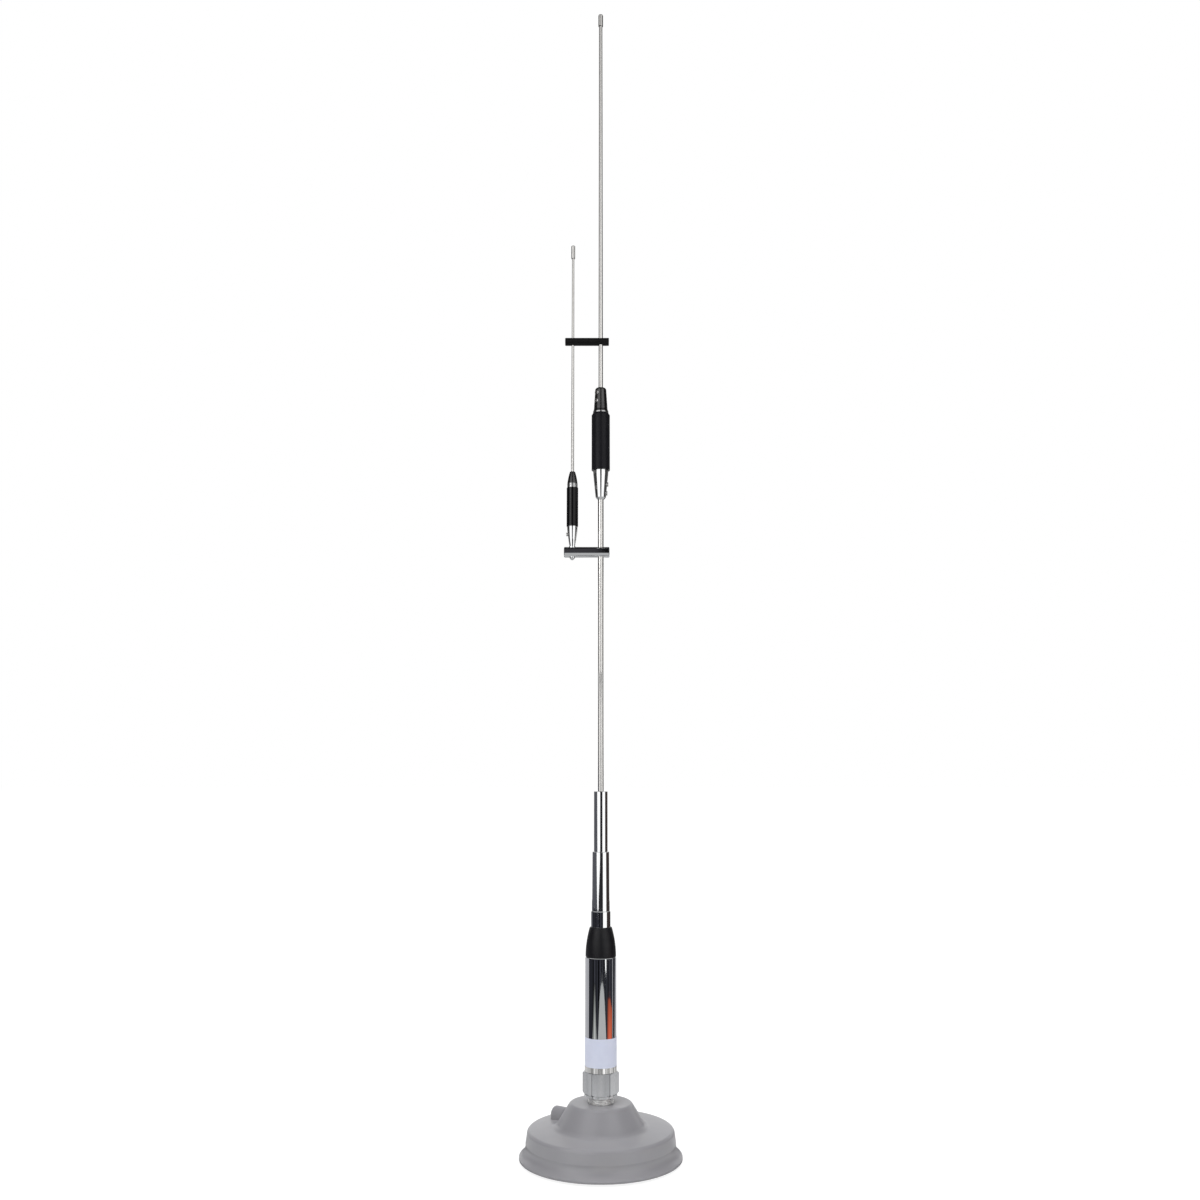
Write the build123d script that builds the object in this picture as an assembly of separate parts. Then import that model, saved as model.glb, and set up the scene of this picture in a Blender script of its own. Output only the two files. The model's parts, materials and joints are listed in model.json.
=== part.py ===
from build123d import *
import os
from math import cos, radians

# Dual band whip antenna on a magnetic base. Millimetres, +Z up, origin at the
# centre of the base's underside. The mast and the main whip stand on the Z axis,
# and the side radiator stands beside them at -X. The front is -Y.

# Running and assembly clearances
running_gap = 0.05
seat_gap = 0.02
thread_gap = 0.06
nut_end_gap = 0.2
segment_margin = 1.0

# Magnetic base
base_diameter = 100.0
base_height = 33.5
pad_thickness = 1.5
pad_edge_inset = 7.0
skirt_edge_height = 1.0
skirt_height = 8.8
skirt_waist_inset = 3.9
skirt_flare_inset = 1.0
skirt_flare_height = 3.9
drum_top_inset = 5.0
drum_top_height = 18.1
drum_edge_round = 2.2
cone_foot_rise = 1.4
cone_foot_radius = 28.0
cone_foot_round = 5.0
plateau_radius = 19.0
plateau_edge_round = 2.4
cover_wall = 2.8
cone_wall_inset = 3.5
plateau_wall = 4.0

# Ring magnet and its steel yoke
yoke_wall = 3.0
yoke_side_gap = 0.4
pole_radius = 14.0
magnet_side_gap = 0.3

# Cable hood on the cone
hood_azimuth = 145.0
hood_reach = 36.0
hood_radius = 4.8
hood_axis_height = 21.5
hood_edge_round = 2.0
cable_hole_radius = 2.6

# Coaxial socket and plug
thread_radius = 7.94
socket_bore_radius = 6.3
socket_flange_radius = 14.5
socket_flange_thickness = 2.2
socket_screw_circle = 11.5
socket_screw_count = 4
socket_screw_radius = 1.25
socket_screw_grip = 3.0
socket_screw_head_radius = 2.3
socket_screw_head_height = 1.5
socket_screw_head_round = 0.5
socket_tail = 4.0
contact_radius = 2.9
contact_top_drop = 1.0
contact_end_gap = 4.0
solder_cup_radius = 1.0
solder_cup_depth = 2.5
pin_radius = 1.95
pin_reach = 15.0
pin_tail = 8.0
pin_point_round = 1.2
neck_show = 4.0
plug_barrel_radius = 6.1
plug_barrel_bore = 4.8
plug_barrel_length = 6.0
plug_shoulder_radius = 7.8
plug_shoulder_height = 2.0
plug_waist_radius = 6.9
plug_band_radius = 9.95
plug_band_height = 3.2
plug_spigot_length = 9.0
plug_spigot_bore = 6.0

# Coupling nut
nut_across_flats = 19.45
nut_height = 14.5
nut_lip_height = 2.8
nut_top_chamfer = 0.9
nut_corner_cut = 1.3
nut_ring_radius = 10.2
nut_ring_height = 2.4
nut_ring_edge = 1.3

# Base tube, its wrap and its matching coil
tube_radius = 9.7
tube_wall = 1.0
tube_edge = 0.3
tube_length = 65.0
wrap_height = 17.0
wrap_thickness = 0.32
base_former_radius = 4.6
base_former_flange = 3.0
base_wire_radius = 0.6
base_coil_turns = 7

# Boot and the insulator under it
boot_height = 18.1
boot_foot_radius = 9.55
boot_middle_radius = 8.85
boot_middle_height = 9.4
boot_top_radius = 6.9
boot_edge_round = 0.5
insulator_core_radius = 5.0
insulator_spigot_length = 9.0
insulator_top_gap = 1.5

# Collar and stepped sleeves
collar_radius = 6.05
collar_height = 9.8
collar_edge = 0.35
collar_stud_radius = 3.0
collar_stud_length = 13.0
joint_spigot_radius = 3.0
joint_spigot_length = 9.0
lower_sleeve_length = 36.5
lower_sleeve_foot_radius = 5.6
lower_sleeve_top_radius = 5.35
upper_sleeve_length = 37.7
upper_sleeve_radius = 4.4
sleeve_edge = 0.25

# Mast
mast_radius = 1.85
mast_exposed = 190.0
mast_foot_depth = 24.0
mast_head_depth = 13.5

# Main coil
ferrule_height = 19.9
ferrule_collar_radius = 4.97
ferrule_collar_height = 2.0
ferrule_nose_radius = 3.37
ferrule_nose_chamfer = 1.5
ferrule_nose_tip_radius = 2.2
ferrule_bore_spare = 7.0
main_spigot_radius = 4.3
main_spigot_length = 7.0
main_sleeve_radius = 6.05
main_sleeve_wall = 0.8
main_sleeve_length = 39.0
main_sleeve_shoulder = 1.5
main_sleeve_shoulder_inset = 0.9
main_sleeve_seat = 4.2
main_former_radius = 3.3
main_wire_radius = 0.6
main_coil_flange = 1.2
main_coil_turns = 8
top_ferrule_height = 17.5
top_ferrule_flare_radius = 5.1
top_ferrule_flare_height = 1.2
top_ferrule_hollow_radius = 4.63
top_ferrule_hollow_height = 2.37
top_ferrule_waist_radius = 4.47
top_ferrule_waist_height = 3.8
top_ferrule_crown_radius = 3.6
top_ferrule_crown_round = 1.7

# Grub screws of the main coil
grub_radius = 1.5
grub_edge = 0.18
grub_key = 1.5
grub_key_depth = 1.3
grub_proud = 0.45
lower_grub_heights = (4.3, 10.3)
lower_grub_azimuth = 0.0
lower_grub_proud = 0.8
upper_grub_heights = (8.1, 13.8)
upper_grub_azimuth = 226.0

# Main whip
whip_foot_radius = 1.48
whip_tip_radius = 1.17
whip_exposed = 262.1
whip_depth = 23.6
cap_radius = 1.62
cap_round = 0.7
cap_height = 8.6
cap_overlap = 6.6

# Side radiator
side_spacing = 18.7
bar_height_on_mast = 154.8
bar_radius = 3.5
bar_near_end = 5.7
bar_far_end = 5.4
bar_end_chamfer = 0.4
bar_hole_rim = 0.35
clamp_screw_radius = 1.5
clamp_screw_inset = 0.4
bar_flat_depth = 0.5
foot_radius = 2.1
foot_height = 0.9
side_ferrule_height = 13.3
side_ferrule_top_radius = 3.4
side_ferrule_middle_radius = 2.87
side_ferrule_middle_height = 6.25
side_ferrule_nose_radius = 1.85
side_stud_radius = 1.25
side_stud_depth = 5.8
side_head_radius = 1.75
side_head_height = 2.3
side_head_shoulder_radius = 1.3
side_head_shoulder_height = 1.55
side_head_key_depth = 1.2
side_grub_radius = 1.25
side_grub_height = 8.0
side_grub_key = 1.3
side_grub_proud = 1.1
side_pin_gap = 0.2
side_spigot_radius = 2.5
side_spigot_length = 4.0
side_sleeve_radius = 3.78
side_sleeve_wall = 0.88
side_sleeve_seat = 2.4
side_sleeve_length = 26.0
side_former_radius = 1.95
side_former_pin_radius = 1.1
side_wire_radius = 0.35
side_coil_flange = 0.7
side_coil_turns = 9
side_band_height = 2.8
side_band_radius = 3.4
side_crown_height = 8.2
side_crown_middle_radius = 2.8
side_crown_middle_height = 3.85
side_crown_top_radius = 1.7
side_crown_round = 0.5
side_whip_foot_radius = 1.0
side_whip_tip_radius = 0.75
side_whip_exposed = 148.5
side_whip_depth = 11.0
side_cap_radius = 1.3
side_cap_round = 0.55
side_cap_height = 9.1
side_cap_overlap = 7.0

# Spacer across the two whips
spacer_radius = 2.65
spacer_height_on_ferrule = 32.2
spacer_near_end = 5.5
spacer_far_end = 5.2
spacer_end_chamfer = 0.3

# Levels up the stack, each worked out from the pieces below it
pad_top = pad_thickness
cone_foot_height = drum_top_height + cone_foot_rise
yoke_top = drum_top_height - cover_wall
magnet_top = yoke_top - yoke_wall
contact_foot = yoke_top + contact_end_gap
plateau_underside = base_height - plateau_wall
flange_foot = plateau_underside - socket_flange_thickness
nut_foot = base_height + neck_show
nut_top = nut_foot + nut_height
band_foot = nut_top + nut_end_gap
band_top = band_foot + plug_band_height
shoulder_top = nut_top - nut_lip_height - nut_end_gap
socket_top = shoulder_top - plug_shoulder_height
barrel_foot = socket_top - plug_barrel_length
tube_top = band_top + tube_length
boot_top = tube_top + boot_height
collar_top = boot_top + collar_height
lower_sleeve_top = collar_top + lower_sleeve_length
upper_sleeve_top = lower_sleeve_top + upper_sleeve_length
mast_top = upper_sleeve_top + mast_exposed
ferrule_top = mast_top + ferrule_height
main_sleeve_top = ferrule_top + main_sleeve_length
crown_top = main_sleeve_top + top_ferrule_height
whip_top = crown_top + whip_exposed
bar_axis = upper_sleeve_top + bar_height_on_mast
bar_flat_top = bar_axis + bar_radius - bar_flat_depth
bar_flat_bottom = bar_axis - bar_radius + bar_flat_depth
side_ferrule_top = bar_flat_top + foot_height + side_ferrule_height
side_pin_foot = bar_flat_top + foot_height + side_stud_depth + side_pin_gap
side_sleeve_top = side_ferrule_top + side_sleeve_length
side_band_top = side_sleeve_top + side_band_height
side_crown_top = side_band_top + side_crown_height
side_whip_top = side_crown_top + side_whip_exposed
spacer_axis = crown_top + spacer_height_on_ferrule

# Radii shared by mating pieces
base_radius = base_diameter / 2
drum_top_radius = base_radius - drum_top_inset
waist_radius = base_radius - skirt_waist_inset
cavity_radius = drum_top_radius - cover_wall
magnet_space_radius = cavity_radius - yoke_side_gap - yoke_wall
tube_bore_radius = tube_radius - tube_wall
tube_fit_radius = tube_bore_radius - seat_gap
nut_corner_radius = nut_across_flats / 2 / cos(radians(30))
joint_bore_radius = joint_spigot_radius + seat_gap
stud_hole_radius = collar_stud_radius + seat_gap
mast_hole_radius = mast_radius + running_gap
whip_hole_radius = whip_foot_radius + running_gap
side_whip_hole_radius = side_whip_foot_radius + running_gap
main_sleeve_bore = main_sleeve_radius - main_sleeve_wall
side_sleeve_bore = side_sleeve_radius - side_sleeve_wall


standing = (Align.CENTER, Align.CENTER, Align.MIN)


def turned(outline):
    """A piece turned about the Z axis from its half section of (radius, height) points."""
    return revolve(Plane.XZ * make_face(Polyline(*outline, close=True)), Axis.Z)


def ring(outer, inner, low, high):
    """A plain ring or tube between two heights."""
    return turned([(inner, low), (outer, low), (outer, high), (inner, high)])


def rod(radius, low, high):
    """A plain round bar on the Z axis between two heights."""
    return Pos(0, 0, low) * Cylinder(radius, high - low, align=standing)


def round_corner(section, corner, radius):
    """Round the corner of a flat half section that lies nearest to a (radius, height) point."""
    vertex = section.vertices().sort_by_distance(Vector(corner[0], corner[1], 0))[0]
    return fillet(vertex, radius)


def outwards(piece, azimuth, height):
    """Turn a piece built along +X to face an azimuth, at a height."""
    return Pos(0, 0, height) * Rot(0, 0, azimuth) * piece


def cross_rod(radius, start, end):
    """A round bar or drill along +X between two distances from the Z axis."""
    return Pos(start, 0, 0) * Rot(0, 90, 0) * Cylinder(radius, end - start, align=standing)


def grub_screw(radius, start, end, key, depth):
    """A headless screw along +X with a hexagon socket in its outer end."""
    screw = chamfer(cross_rod(radius, start, end).edges(), grub_edge)
    key_hole = RegularPolygon(key / 2, 6, major_radius=False)
    return screw - Pos(end, 0, 0) * Rot(0, 90, 0) * extrude(key_hole, amount=-depth)


def winding(coil_radius, wire_radius, low, high, turns):
    """A helical winding of round wire that fills the height between two flanges."""
    start = low + wire_radius + seat_gap
    height = high - low - 2 * (wire_radius + seat_gap)
    path = Pos(0, 0, start) * Helix(height / turns, height, coil_radius)
    wire = Plane(origin=path @ 0, z_dir=path % 0) * Circle(wire_radius)
    return sweep(wire, path=path, is_frenet=True)


def cone_radius_at(height):
    """Outer radius of the base's cone at a height."""
    share = (height - cone_foot_height) / (base_height - cone_foot_height)
    return cone_foot_radius + share * (plateau_radius - cone_foot_radius)


def base_cover_form():
    """The outside of the base: skirt, drum, cone and flat top, as one solid of revolution."""
    outline = Polyline(
        (base_radius, pad_top + skirt_edge_height), (base_radius, pad_top), (0, pad_top),
        (0, base_height), (plateau_radius, base_height), (cone_foot_radius, cone_foot_height),
        (drum_top_radius, drum_top_height), (waist_radius, pad_top + skirt_height))
    skirt = ThreePointArc(
        (waist_radius, pad_top + skirt_height),
        (waist_radius + skirt_flare_inset, pad_top + skirt_flare_height),
        (base_radius, pad_top + skirt_edge_height))
    section = make_face(outline + skirt)
    section = round_corner(section, (plateau_radius, base_height), plateau_edge_round)
    section = round_corner(section, (cone_foot_radius, cone_foot_height), cone_foot_round)
    section = round_corner(section, (drum_top_radius, drum_top_height), drum_edge_round)
    return revolve(Plane.XZ * section, Axis.Z)


def cable_hood():
    """The round-topped hood on the cone where the cable leaves, built along +X."""
    inner_end = plateau_radius
    depth = hood_axis_height - drum_top_height + cover_wall / 2
    arch = Circle(hood_radius) + Pos(0, -depth / 2) * Rectangle(2 * hood_radius, depth)
    hood = Plane(origin=(inner_end, 0, 0), x_dir=(0, 1, 0), z_dir=(1, 0, 0)) * arch
    hood = extrude(hood, amount=hood_reach - inner_end)
    end_edges = hood.faces().sort_by(Axis.X)[-1].edges().filter_by(
        lambda edge: edge.center().Z > -depth + segment_margin)
    return fillet(end_edges, hood_edge_round)


def base_cavity():
    """The hollow inside the cover: a drum for the magnet and a cone for the socket's tail."""
    return turned([
        (0, 0), (cavity_radius, 0), (cavity_radius, yoke_top),
        (cone_radius_at(yoke_top) - cone_wall_inset, yoke_top),
        (cone_radius_at(plateau_underside) - cone_wall_inset, plateau_underside),
        (0, plateau_underside)])


def socket_screw_places():
    """The places of the socket's fixing screws, on a circle about the Z axis."""
    turn = 360 / socket_screw_count
    return [Rot(0, 0, turn * (number + 0.5)) * Pos(socket_screw_circle, 0, 0)
            for number in range(socket_screw_count)]


def base_shell():
    """The die-cast cover, with its cable hole, socket hole and blind screw holes."""
    cover = base_cover_form() + outwards(cable_hood(), hood_azimuth, hood_axis_height)
    cover -= base_cavity()
    cover -= rod(thread_radius + seat_gap, plateau_underside - segment_margin,
                 base_height + segment_margin)
    cover -= outwards(
        cross_rod(cable_hole_radius, thread_radius, hood_reach + segment_margin),
        hood_azimuth, hood_axis_height)
    blind_hole = rod(socket_screw_radius + seat_gap, plateau_underside - segment_margin,
                     plateau_underside + socket_screw_grip + seat_gap)
    for place in socket_screw_places():
        cover -= place * blind_hole
    return cover


def base_pad():
    """The thin pad that closes the base and keeps the magnet off the paint."""
    return rod(base_radius - pad_edge_inset, 0, pad_top)


def steel_yoke():
    """The turned steel pot: a lid, a side wall and a centre pole round the ring magnet."""
    yoke = rod(cavity_radius - yoke_side_gap, pad_top, yoke_top)
    return yoke - ring(magnet_space_radius, pole_radius, 0, magnet_top)


def magnet_ring():
    """The ferrite ring between the yoke's wall and its pole."""
    return ring(magnet_space_radius - magnet_side_gap, pole_radius + magnet_side_gap,
                pad_top, magnet_top)


def socket_body():
    """The socket's threaded neck, with a round flange fixed under the flat top."""
    tail_foot = flange_foot - socket_tail
    body = rod(thread_radius, tail_foot, socket_top)
    body += rod(socket_flange_radius, flange_foot, plateau_underside)
    body -= rod(socket_bore_radius, flange_foot, socket_top + segment_margin)
    body -= rod(contact_radius + segment_margin, tail_foot - segment_margin, flange_foot)
    clearance_hole = rod(socket_screw_radius + running_gap, flange_foot - segment_margin,
                         plateau_underside + segment_margin)
    for place in socket_screw_places():
        body -= place * clearance_hole
    return body


def socket_screws():
    """The four pan head screws that hold the flange, from below."""
    head = rod(socket_screw_head_radius, flange_foot - socket_screw_head_height, flange_foot)
    head = fillet(head.edges().sort_by(Axis.Z)[0], socket_screw_head_round)
    screw = head + rod(socket_screw_radius, flange_foot, plateau_underside + socket_screw_grip)
    return Compound([place * screw for place in socket_screw_places()])


def socket_insulator():
    """The white insulator that carries the centre contact in the neck."""
    return ring(socket_bore_radius - seat_gap, contact_radius + seat_gap,
                flange_foot, barrel_foot - nut_end_gap)


def socket_contact():
    """The centre contact: a sleeve for the pin above and a solder cup below."""
    contact = rod(contact_radius, contact_foot, barrel_foot - contact_top_drop)
    contact -= rod(pin_radius + running_gap, socket_top - pin_reach - seat_gap, socket_top)
    return contact - rod(solder_cup_radius, contact_foot, contact_foot + solder_cup_depth)


def plug_body():
    """The turned plug: barrel in the socket, shoulder and waist in the nut, band, spigot in the tube."""
    spigot_top = band_top + plug_spigot_length
    return turned([
        (plug_barrel_bore, barrel_foot), (plug_barrel_radius, barrel_foot),
        (plug_barrel_radius, socket_top), (plug_shoulder_radius, socket_top),
        (plug_shoulder_radius, shoulder_top), (plug_waist_radius, shoulder_top),
        (plug_waist_radius, band_foot), (plug_band_radius, band_foot),
        (plug_band_radius, band_top), (tube_fit_radius, band_top),
        (tube_fit_radius, spigot_top), (plug_spigot_bore, spigot_top),
        (plug_spigot_bore, band_top), (plug_barrel_bore, band_foot)])


def plug_insulator():
    """The insulator that holds the pin in the plug's barrel."""
    return ring(plug_barrel_bore - seat_gap, pin_radius + seat_gap,
                barrel_foot, band_foot - seat_gap)


def plug_pin():
    """The pin with its rounded point, from the socket's contact up to the matching coil."""
    pin = rod(pin_radius, socket_top - pin_reach, band_top + pin_tail)
    return fillet(pin.edges().sort_by(Axis.Z)[0], pin_point_round)


def coupling_nut():
    """The hexagonal coupling nut: bevelled foot ring, chamfered corners, inner lip on the plug's waist."""
    hexagon = extrude(RegularPolygon(nut_across_flats / 2, 6, major_radius=False), amount=nut_height)
    envelope = turned([
        (0, 0), (nut_ring_radius, 0), (nut_ring_radius, nut_ring_edge),
        (nut_corner_radius, nut_ring_height), (nut_corner_radius, nut_height - nut_top_chamfer),
        (nut_corner_radius - nut_corner_cut, nut_height), (0, nut_height)])
    foot = rod(nut_ring_radius, 0, nut_ring_edge)
    nut = Pos(0, 0, nut_foot) * ((hexagon & envelope) + foot)
    lip_foot = nut_top - nut_lip_height
    nut -= rod(thread_radius + thread_gap, nut_foot - segment_margin, lip_foot)
    nut -= rod(plug_waist_radius + running_gap * 2, lip_foot, nut_top + segment_margin)
    return nut


def base_tube():
    """The chrome tube over the matching coil, with a fine edge at its top."""
    tube = ring(tube_radius, tube_bore_radius, band_top, tube_top)
    return chamfer(tube.edges().group_by(Axis.Z)[-1].sort_by(SortBy.LENGTH)[-1], tube_edge)


def label_sleeve():
    """The blank wrap round the foot of the base tube."""
    inner = tube_radius + seat_gap
    return ring(inner + wrap_thickness, inner, band_top, band_top + wrap_height)


def base_former_levels():
    """The heights of the matching coil's former, between the plug's pin and the insulator's spigot."""
    foot = band_top + plug_spigot_length + seat_gap
    top = tube_top - insulator_spigot_length - seat_gap
    return foot, top


def base_coil_former():
    """The bobbin of the matching coil, with a flange at each end that centres it in the tube."""
    foot, top = base_former_levels()
    return turned([
        (0, foot), (tube_fit_radius, foot), (tube_fit_radius, foot + base_former_flange),
        (base_former_radius, foot + base_former_flange), (base_former_radius, top - base_former_flange),
        (tube_fit_radius, top - base_former_flange), (tube_fit_radius, top), (0, top)])


def base_coil_winding():
    """The matching coil's winding on its bobbin."""
    foot, top = base_former_levels()
    return winding(base_former_radius + base_wire_radius + seat_gap, base_wire_radius,
                   foot + base_former_flange, top - base_former_flange, base_coil_turns)


def feed_insulator():
    """The insulator between tube and collar: a spigot in the tube and a core inside the boot."""
    core_top = boot_top - insulator_top_gap
    spigot_foot = tube_top - insulator_spigot_length
    body = turned([
        (0, spigot_foot), (tube_fit_radius, spigot_foot), (tube_fit_radius, tube_top),
        (insulator_core_radius, tube_top), (insulator_core_radius, core_top), (0, core_top)])
    return body - rod(stud_hole_radius, boot_top - collar_stud_length - seat_gap, boot_top)


def boot():
    """The black boot, an ogive over the insulator's core."""
    side = ThreePointArc((boot_foot_radius, tube_top), (boot_middle_radius, tube_top + boot_middle_height),
                         (boot_top_radius, boot_top))
    rest = Polyline((boot_top_radius, boot_top), (0, boot_top), (0, tube_top), (boot_foot_radius, tube_top))
    section = round_corner(make_face(side + rest), (boot_top_radius, boot_top), boot_edge_round)
    body = revolve(Plane.XZ * section, Axis.Z)
    body -= rod(insulator_core_radius + seat_gap, tube_top - segment_margin,
                boot_top - insulator_top_gap + seat_gap)
    return body - rod(stud_hole_radius, tube_top, boot_top + segment_margin)


def collar():
    """The chrome collar, with a stud down into the insulator and a spigot up into the lower sleeve."""
    return turned([
        (0, boot_top - collar_stud_length), (collar_stud_radius, boot_top - collar_stud_length),
        (collar_stud_radius, boot_top), (collar_radius, boot_top),
        (collar_radius, collar_top - collar_edge), (collar_radius - collar_edge, collar_top),
        (joint_spigot_radius, collar_top), (joint_spigot_radius, collar_top + joint_spigot_length),
        (0, collar_top + joint_spigot_length)])


def lower_sleeve():
    """The lower stepped sleeve, slightly tapered, bored for the spigots at both ends."""
    body = turned([
        (0, collar_top), (lower_sleeve_foot_radius, collar_top),
        (lower_sleeve_top_radius, lower_sleeve_top - sleeve_edge),
        (lower_sleeve_top_radius - sleeve_edge, lower_sleeve_top), (0, lower_sleeve_top)])
    body -= rod(joint_bore_radius, collar_top - segment_margin,
                collar_top + joint_spigot_length + seat_gap)
    return body - rod(joint_bore_radius, lower_sleeve_top - joint_spigot_length - seat_gap,
                      lower_sleeve_top + segment_margin)


def upper_sleeve():
    """The upper stepped sleeve, bored for the mast, with a spigot in the lower sleeve."""
    spigot_foot = lower_sleeve_top - joint_spigot_length
    body = turned([
        (0, spigot_foot), (joint_spigot_radius, spigot_foot),
        (joint_spigot_radius, lower_sleeve_top), (upper_sleeve_radius, lower_sleeve_top),
        (upper_sleeve_radius, upper_sleeve_top - sleeve_edge),
        (upper_sleeve_radius - sleeve_edge, upper_sleeve_top), (0, upper_sleeve_top)])
    return body - rod(mast_radius + seat_gap, upper_sleeve_top - mast_foot_depth - seat_gap,
                      upper_sleeve_top + segment_margin)


def mast():
    """The stainless mast, from the upper sleeve's bore into the main coil's lower ferrule."""
    return rod(mast_radius, upper_sleeve_top - mast_foot_depth, mast_top + mast_head_depth)


def drilled_for_grubs(ferrule, heights, azimuth, inner, foot):
    """A ferrule with the threaded holes of its grub screws."""
    drill = cross_rod(grub_radius + seat_gap, inner / 2, main_sleeve_radius + segment_margin)
    for height in heights:
        ferrule -= outwards(drill, azimuth, foot + height)
    return ferrule


def main_lower_ferrule():
    """The tapered chrome ferrule under the main coil, bored for the mast."""
    body = turned([
        (0, mast_top), (ferrule_nose_tip_radius, mast_top),
        (ferrule_nose_radius, mast_top + ferrule_nose_chamfer),
        (ferrule_collar_radius, ferrule_top - ferrule_collar_height), (ferrule_collar_radius, ferrule_top),
        (main_spigot_radius, ferrule_top), (main_spigot_radius, ferrule_top + main_spigot_length),
        (0, ferrule_top + main_spigot_length)])
    body -= rod(mast_hole_radius, mast_top - segment_margin,
                mast_top + mast_head_depth + ferrule_bore_spare)
    return drilled_for_grubs(body, lower_grub_heights, lower_grub_azimuth, mast_radius, mast_top)


def ferrule_radius_at(height):
    """Outer radius of the lower ferrule's taper at a height above its nose."""
    taper = ferrule_height - ferrule_collar_height - ferrule_nose_chamfer
    share = (height - ferrule_nose_chamfer) / taper
    return ferrule_nose_radius + share * (ferrule_collar_radius - ferrule_nose_radius)


def top_ferrule_radius_at(height):
    """Outer radius of the upper ferrule's taper at a height above its foot."""
    taper = top_ferrule_height - top_ferrule_waist_height
    share = (height - top_ferrule_waist_height) / taper
    return top_ferrule_waist_radius + share * (top_ferrule_crown_radius - top_ferrule_waist_radius)


def main_lower_grub_screws():
    """The two grub screws that grip the mast."""
    return Compound([
        outwards(grub_screw(grub_radius, mast_hole_radius, ferrule_radius_at(height) + lower_grub_proud,
                            grub_key, grub_key_depth), lower_grub_azimuth, mast_top + height)
        for height in lower_grub_heights])


def main_former_levels():
    """The heights of the main coil's former, between the spigots of its two ferrules."""
    foot = ferrule_top + main_spigot_length + seat_gap
    top = main_sleeve_top - main_spigot_length - seat_gap
    return foot, top


def main_coil_former():
    """The tube between the two spigots that carries the winding and leaves room for the whip's foot."""
    foot, top = main_former_levels()
    bore = whip_hole_radius + running_gap
    return turned([
        (bore, foot), (main_spigot_radius, foot), (main_spigot_radius, foot + main_coil_flange),
        (main_former_radius, foot + main_coil_flange), (main_former_radius, top - main_coil_flange),
        (main_spigot_radius, top - main_coil_flange), (main_spigot_radius, top), (bore, top)])


def main_coil_winding():
    """The main coil's winding on its former."""
    foot, top = main_former_levels()
    return winding(main_former_radius + main_wire_radius + seat_gap, main_wire_radius,
                   foot + main_coil_flange, top - main_coil_flange, main_coil_turns)


def main_coil_sleeve():
    """The black sleeve over the main coil: bevelled shoulder, and thick ends that sit on the spigots."""
    sleeve = turned([
        (main_sleeve_bore, ferrule_top), (main_sleeve_radius, ferrule_top),
        (main_sleeve_radius, main_sleeve_top - main_sleeve_shoulder),
        (main_sleeve_radius - main_sleeve_shoulder_inset, main_sleeve_top),
        (main_sleeve_bore - main_sleeve_shoulder_inset, main_sleeve_top),
        (main_sleeve_bore, main_sleeve_top - main_sleeve_shoulder)])
    seat_outer = main_sleeve_bore + main_sleeve_wall / 2
    for foot in (ferrule_top, main_sleeve_top - main_sleeve_seat - main_sleeve_shoulder):
        sleeve += ring(seat_outer, main_spigot_radius + seat_gap, foot, foot + main_sleeve_seat)
    return sleeve


def main_upper_ferrule():
    """The tapered ferrule over the main coil, with a flared foot, a rounded crown and the whip's bore."""
    waist = main_sleeve_top + top_ferrule_waist_height
    flare_top = main_sleeve_top + top_ferrule_flare_height
    spigot_foot = main_sleeve_top - main_spigot_length
    side = Polyline(
        (top_ferrule_waist_radius, waist), (top_ferrule_crown_radius, crown_top), (0, crown_top),
        (0, spigot_foot), (main_spigot_radius, spigot_foot),
        (main_spigot_radius, main_sleeve_top), (top_ferrule_flare_radius, main_sleeve_top),
        (top_ferrule_flare_radius, flare_top))
    flare = ThreePointArc(
        (top_ferrule_flare_radius, flare_top),
        (top_ferrule_hollow_radius, main_sleeve_top + top_ferrule_hollow_height),
        (top_ferrule_waist_radius, waist))
    section = round_corner(make_face(side + flare), (top_ferrule_crown_radius, crown_top),
                           top_ferrule_crown_round)
    body = revolve(Plane.XZ * section, Axis.Z)
    body -= rod(whip_hole_radius, spigot_foot - segment_margin, crown_top + segment_margin)
    return drilled_for_grubs(body, upper_grub_heights, upper_grub_azimuth, whip_foot_radius, main_sleeve_top)


def main_upper_grub_screws():
    """The two grub screws that grip the whip."""
    return Compound([
        outwards(grub_screw(grub_radius, whip_hole_radius, top_ferrule_radius_at(height) + grub_proud,
                            grub_key, grub_key_depth), upper_grub_azimuth, main_sleeve_top + height)
        for height in upper_grub_heights])


def tapered_whip(foot_radius, tip_radius, foot, crown, top):
    """A ground whip: straight up to the crown of its ferrule, then an even taper to its tip."""
    return turned([(0, foot), (foot_radius, foot), (foot_radius, crown), (tip_radius, top), (0, top)])


def tip_cap(radius, whip_radius, top, height, overlap, top_round):
    """The small cap on a whip's tip, with a rounded top."""
    cap = rod(radius, top - height, top)
    cap = fillet(cap.edges().sort_by(Axis.Z)[-1], top_round)
    return cap - rod(whip_radius, top - height, top - height + overlap)


def main_whip():
    """The main whip, from the former's bore to the inside of its cap."""
    return tapered_whip(whip_foot_radius, whip_tip_radius, crown_top - whip_depth, crown_top,
                        whip_top + cap_overlap)


def main_whip_tip():
    """The cap on the main whip."""
    return tip_cap(cap_radius, whip_tip_radius + seat_gap * 2, whip_top + cap_height, cap_height,
                   cap_overlap + seat_gap, cap_round)


def bevelled_bar(radius, start, end, edge):
    """A round cross bar along +X with a bevel round each end."""
    bar = cross_rod(radius, start, end)
    ends = bar.faces().sort_by(Axis.X)
    return chamfer(ends[0].edges() + ends[-1].edges(), edge)


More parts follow.
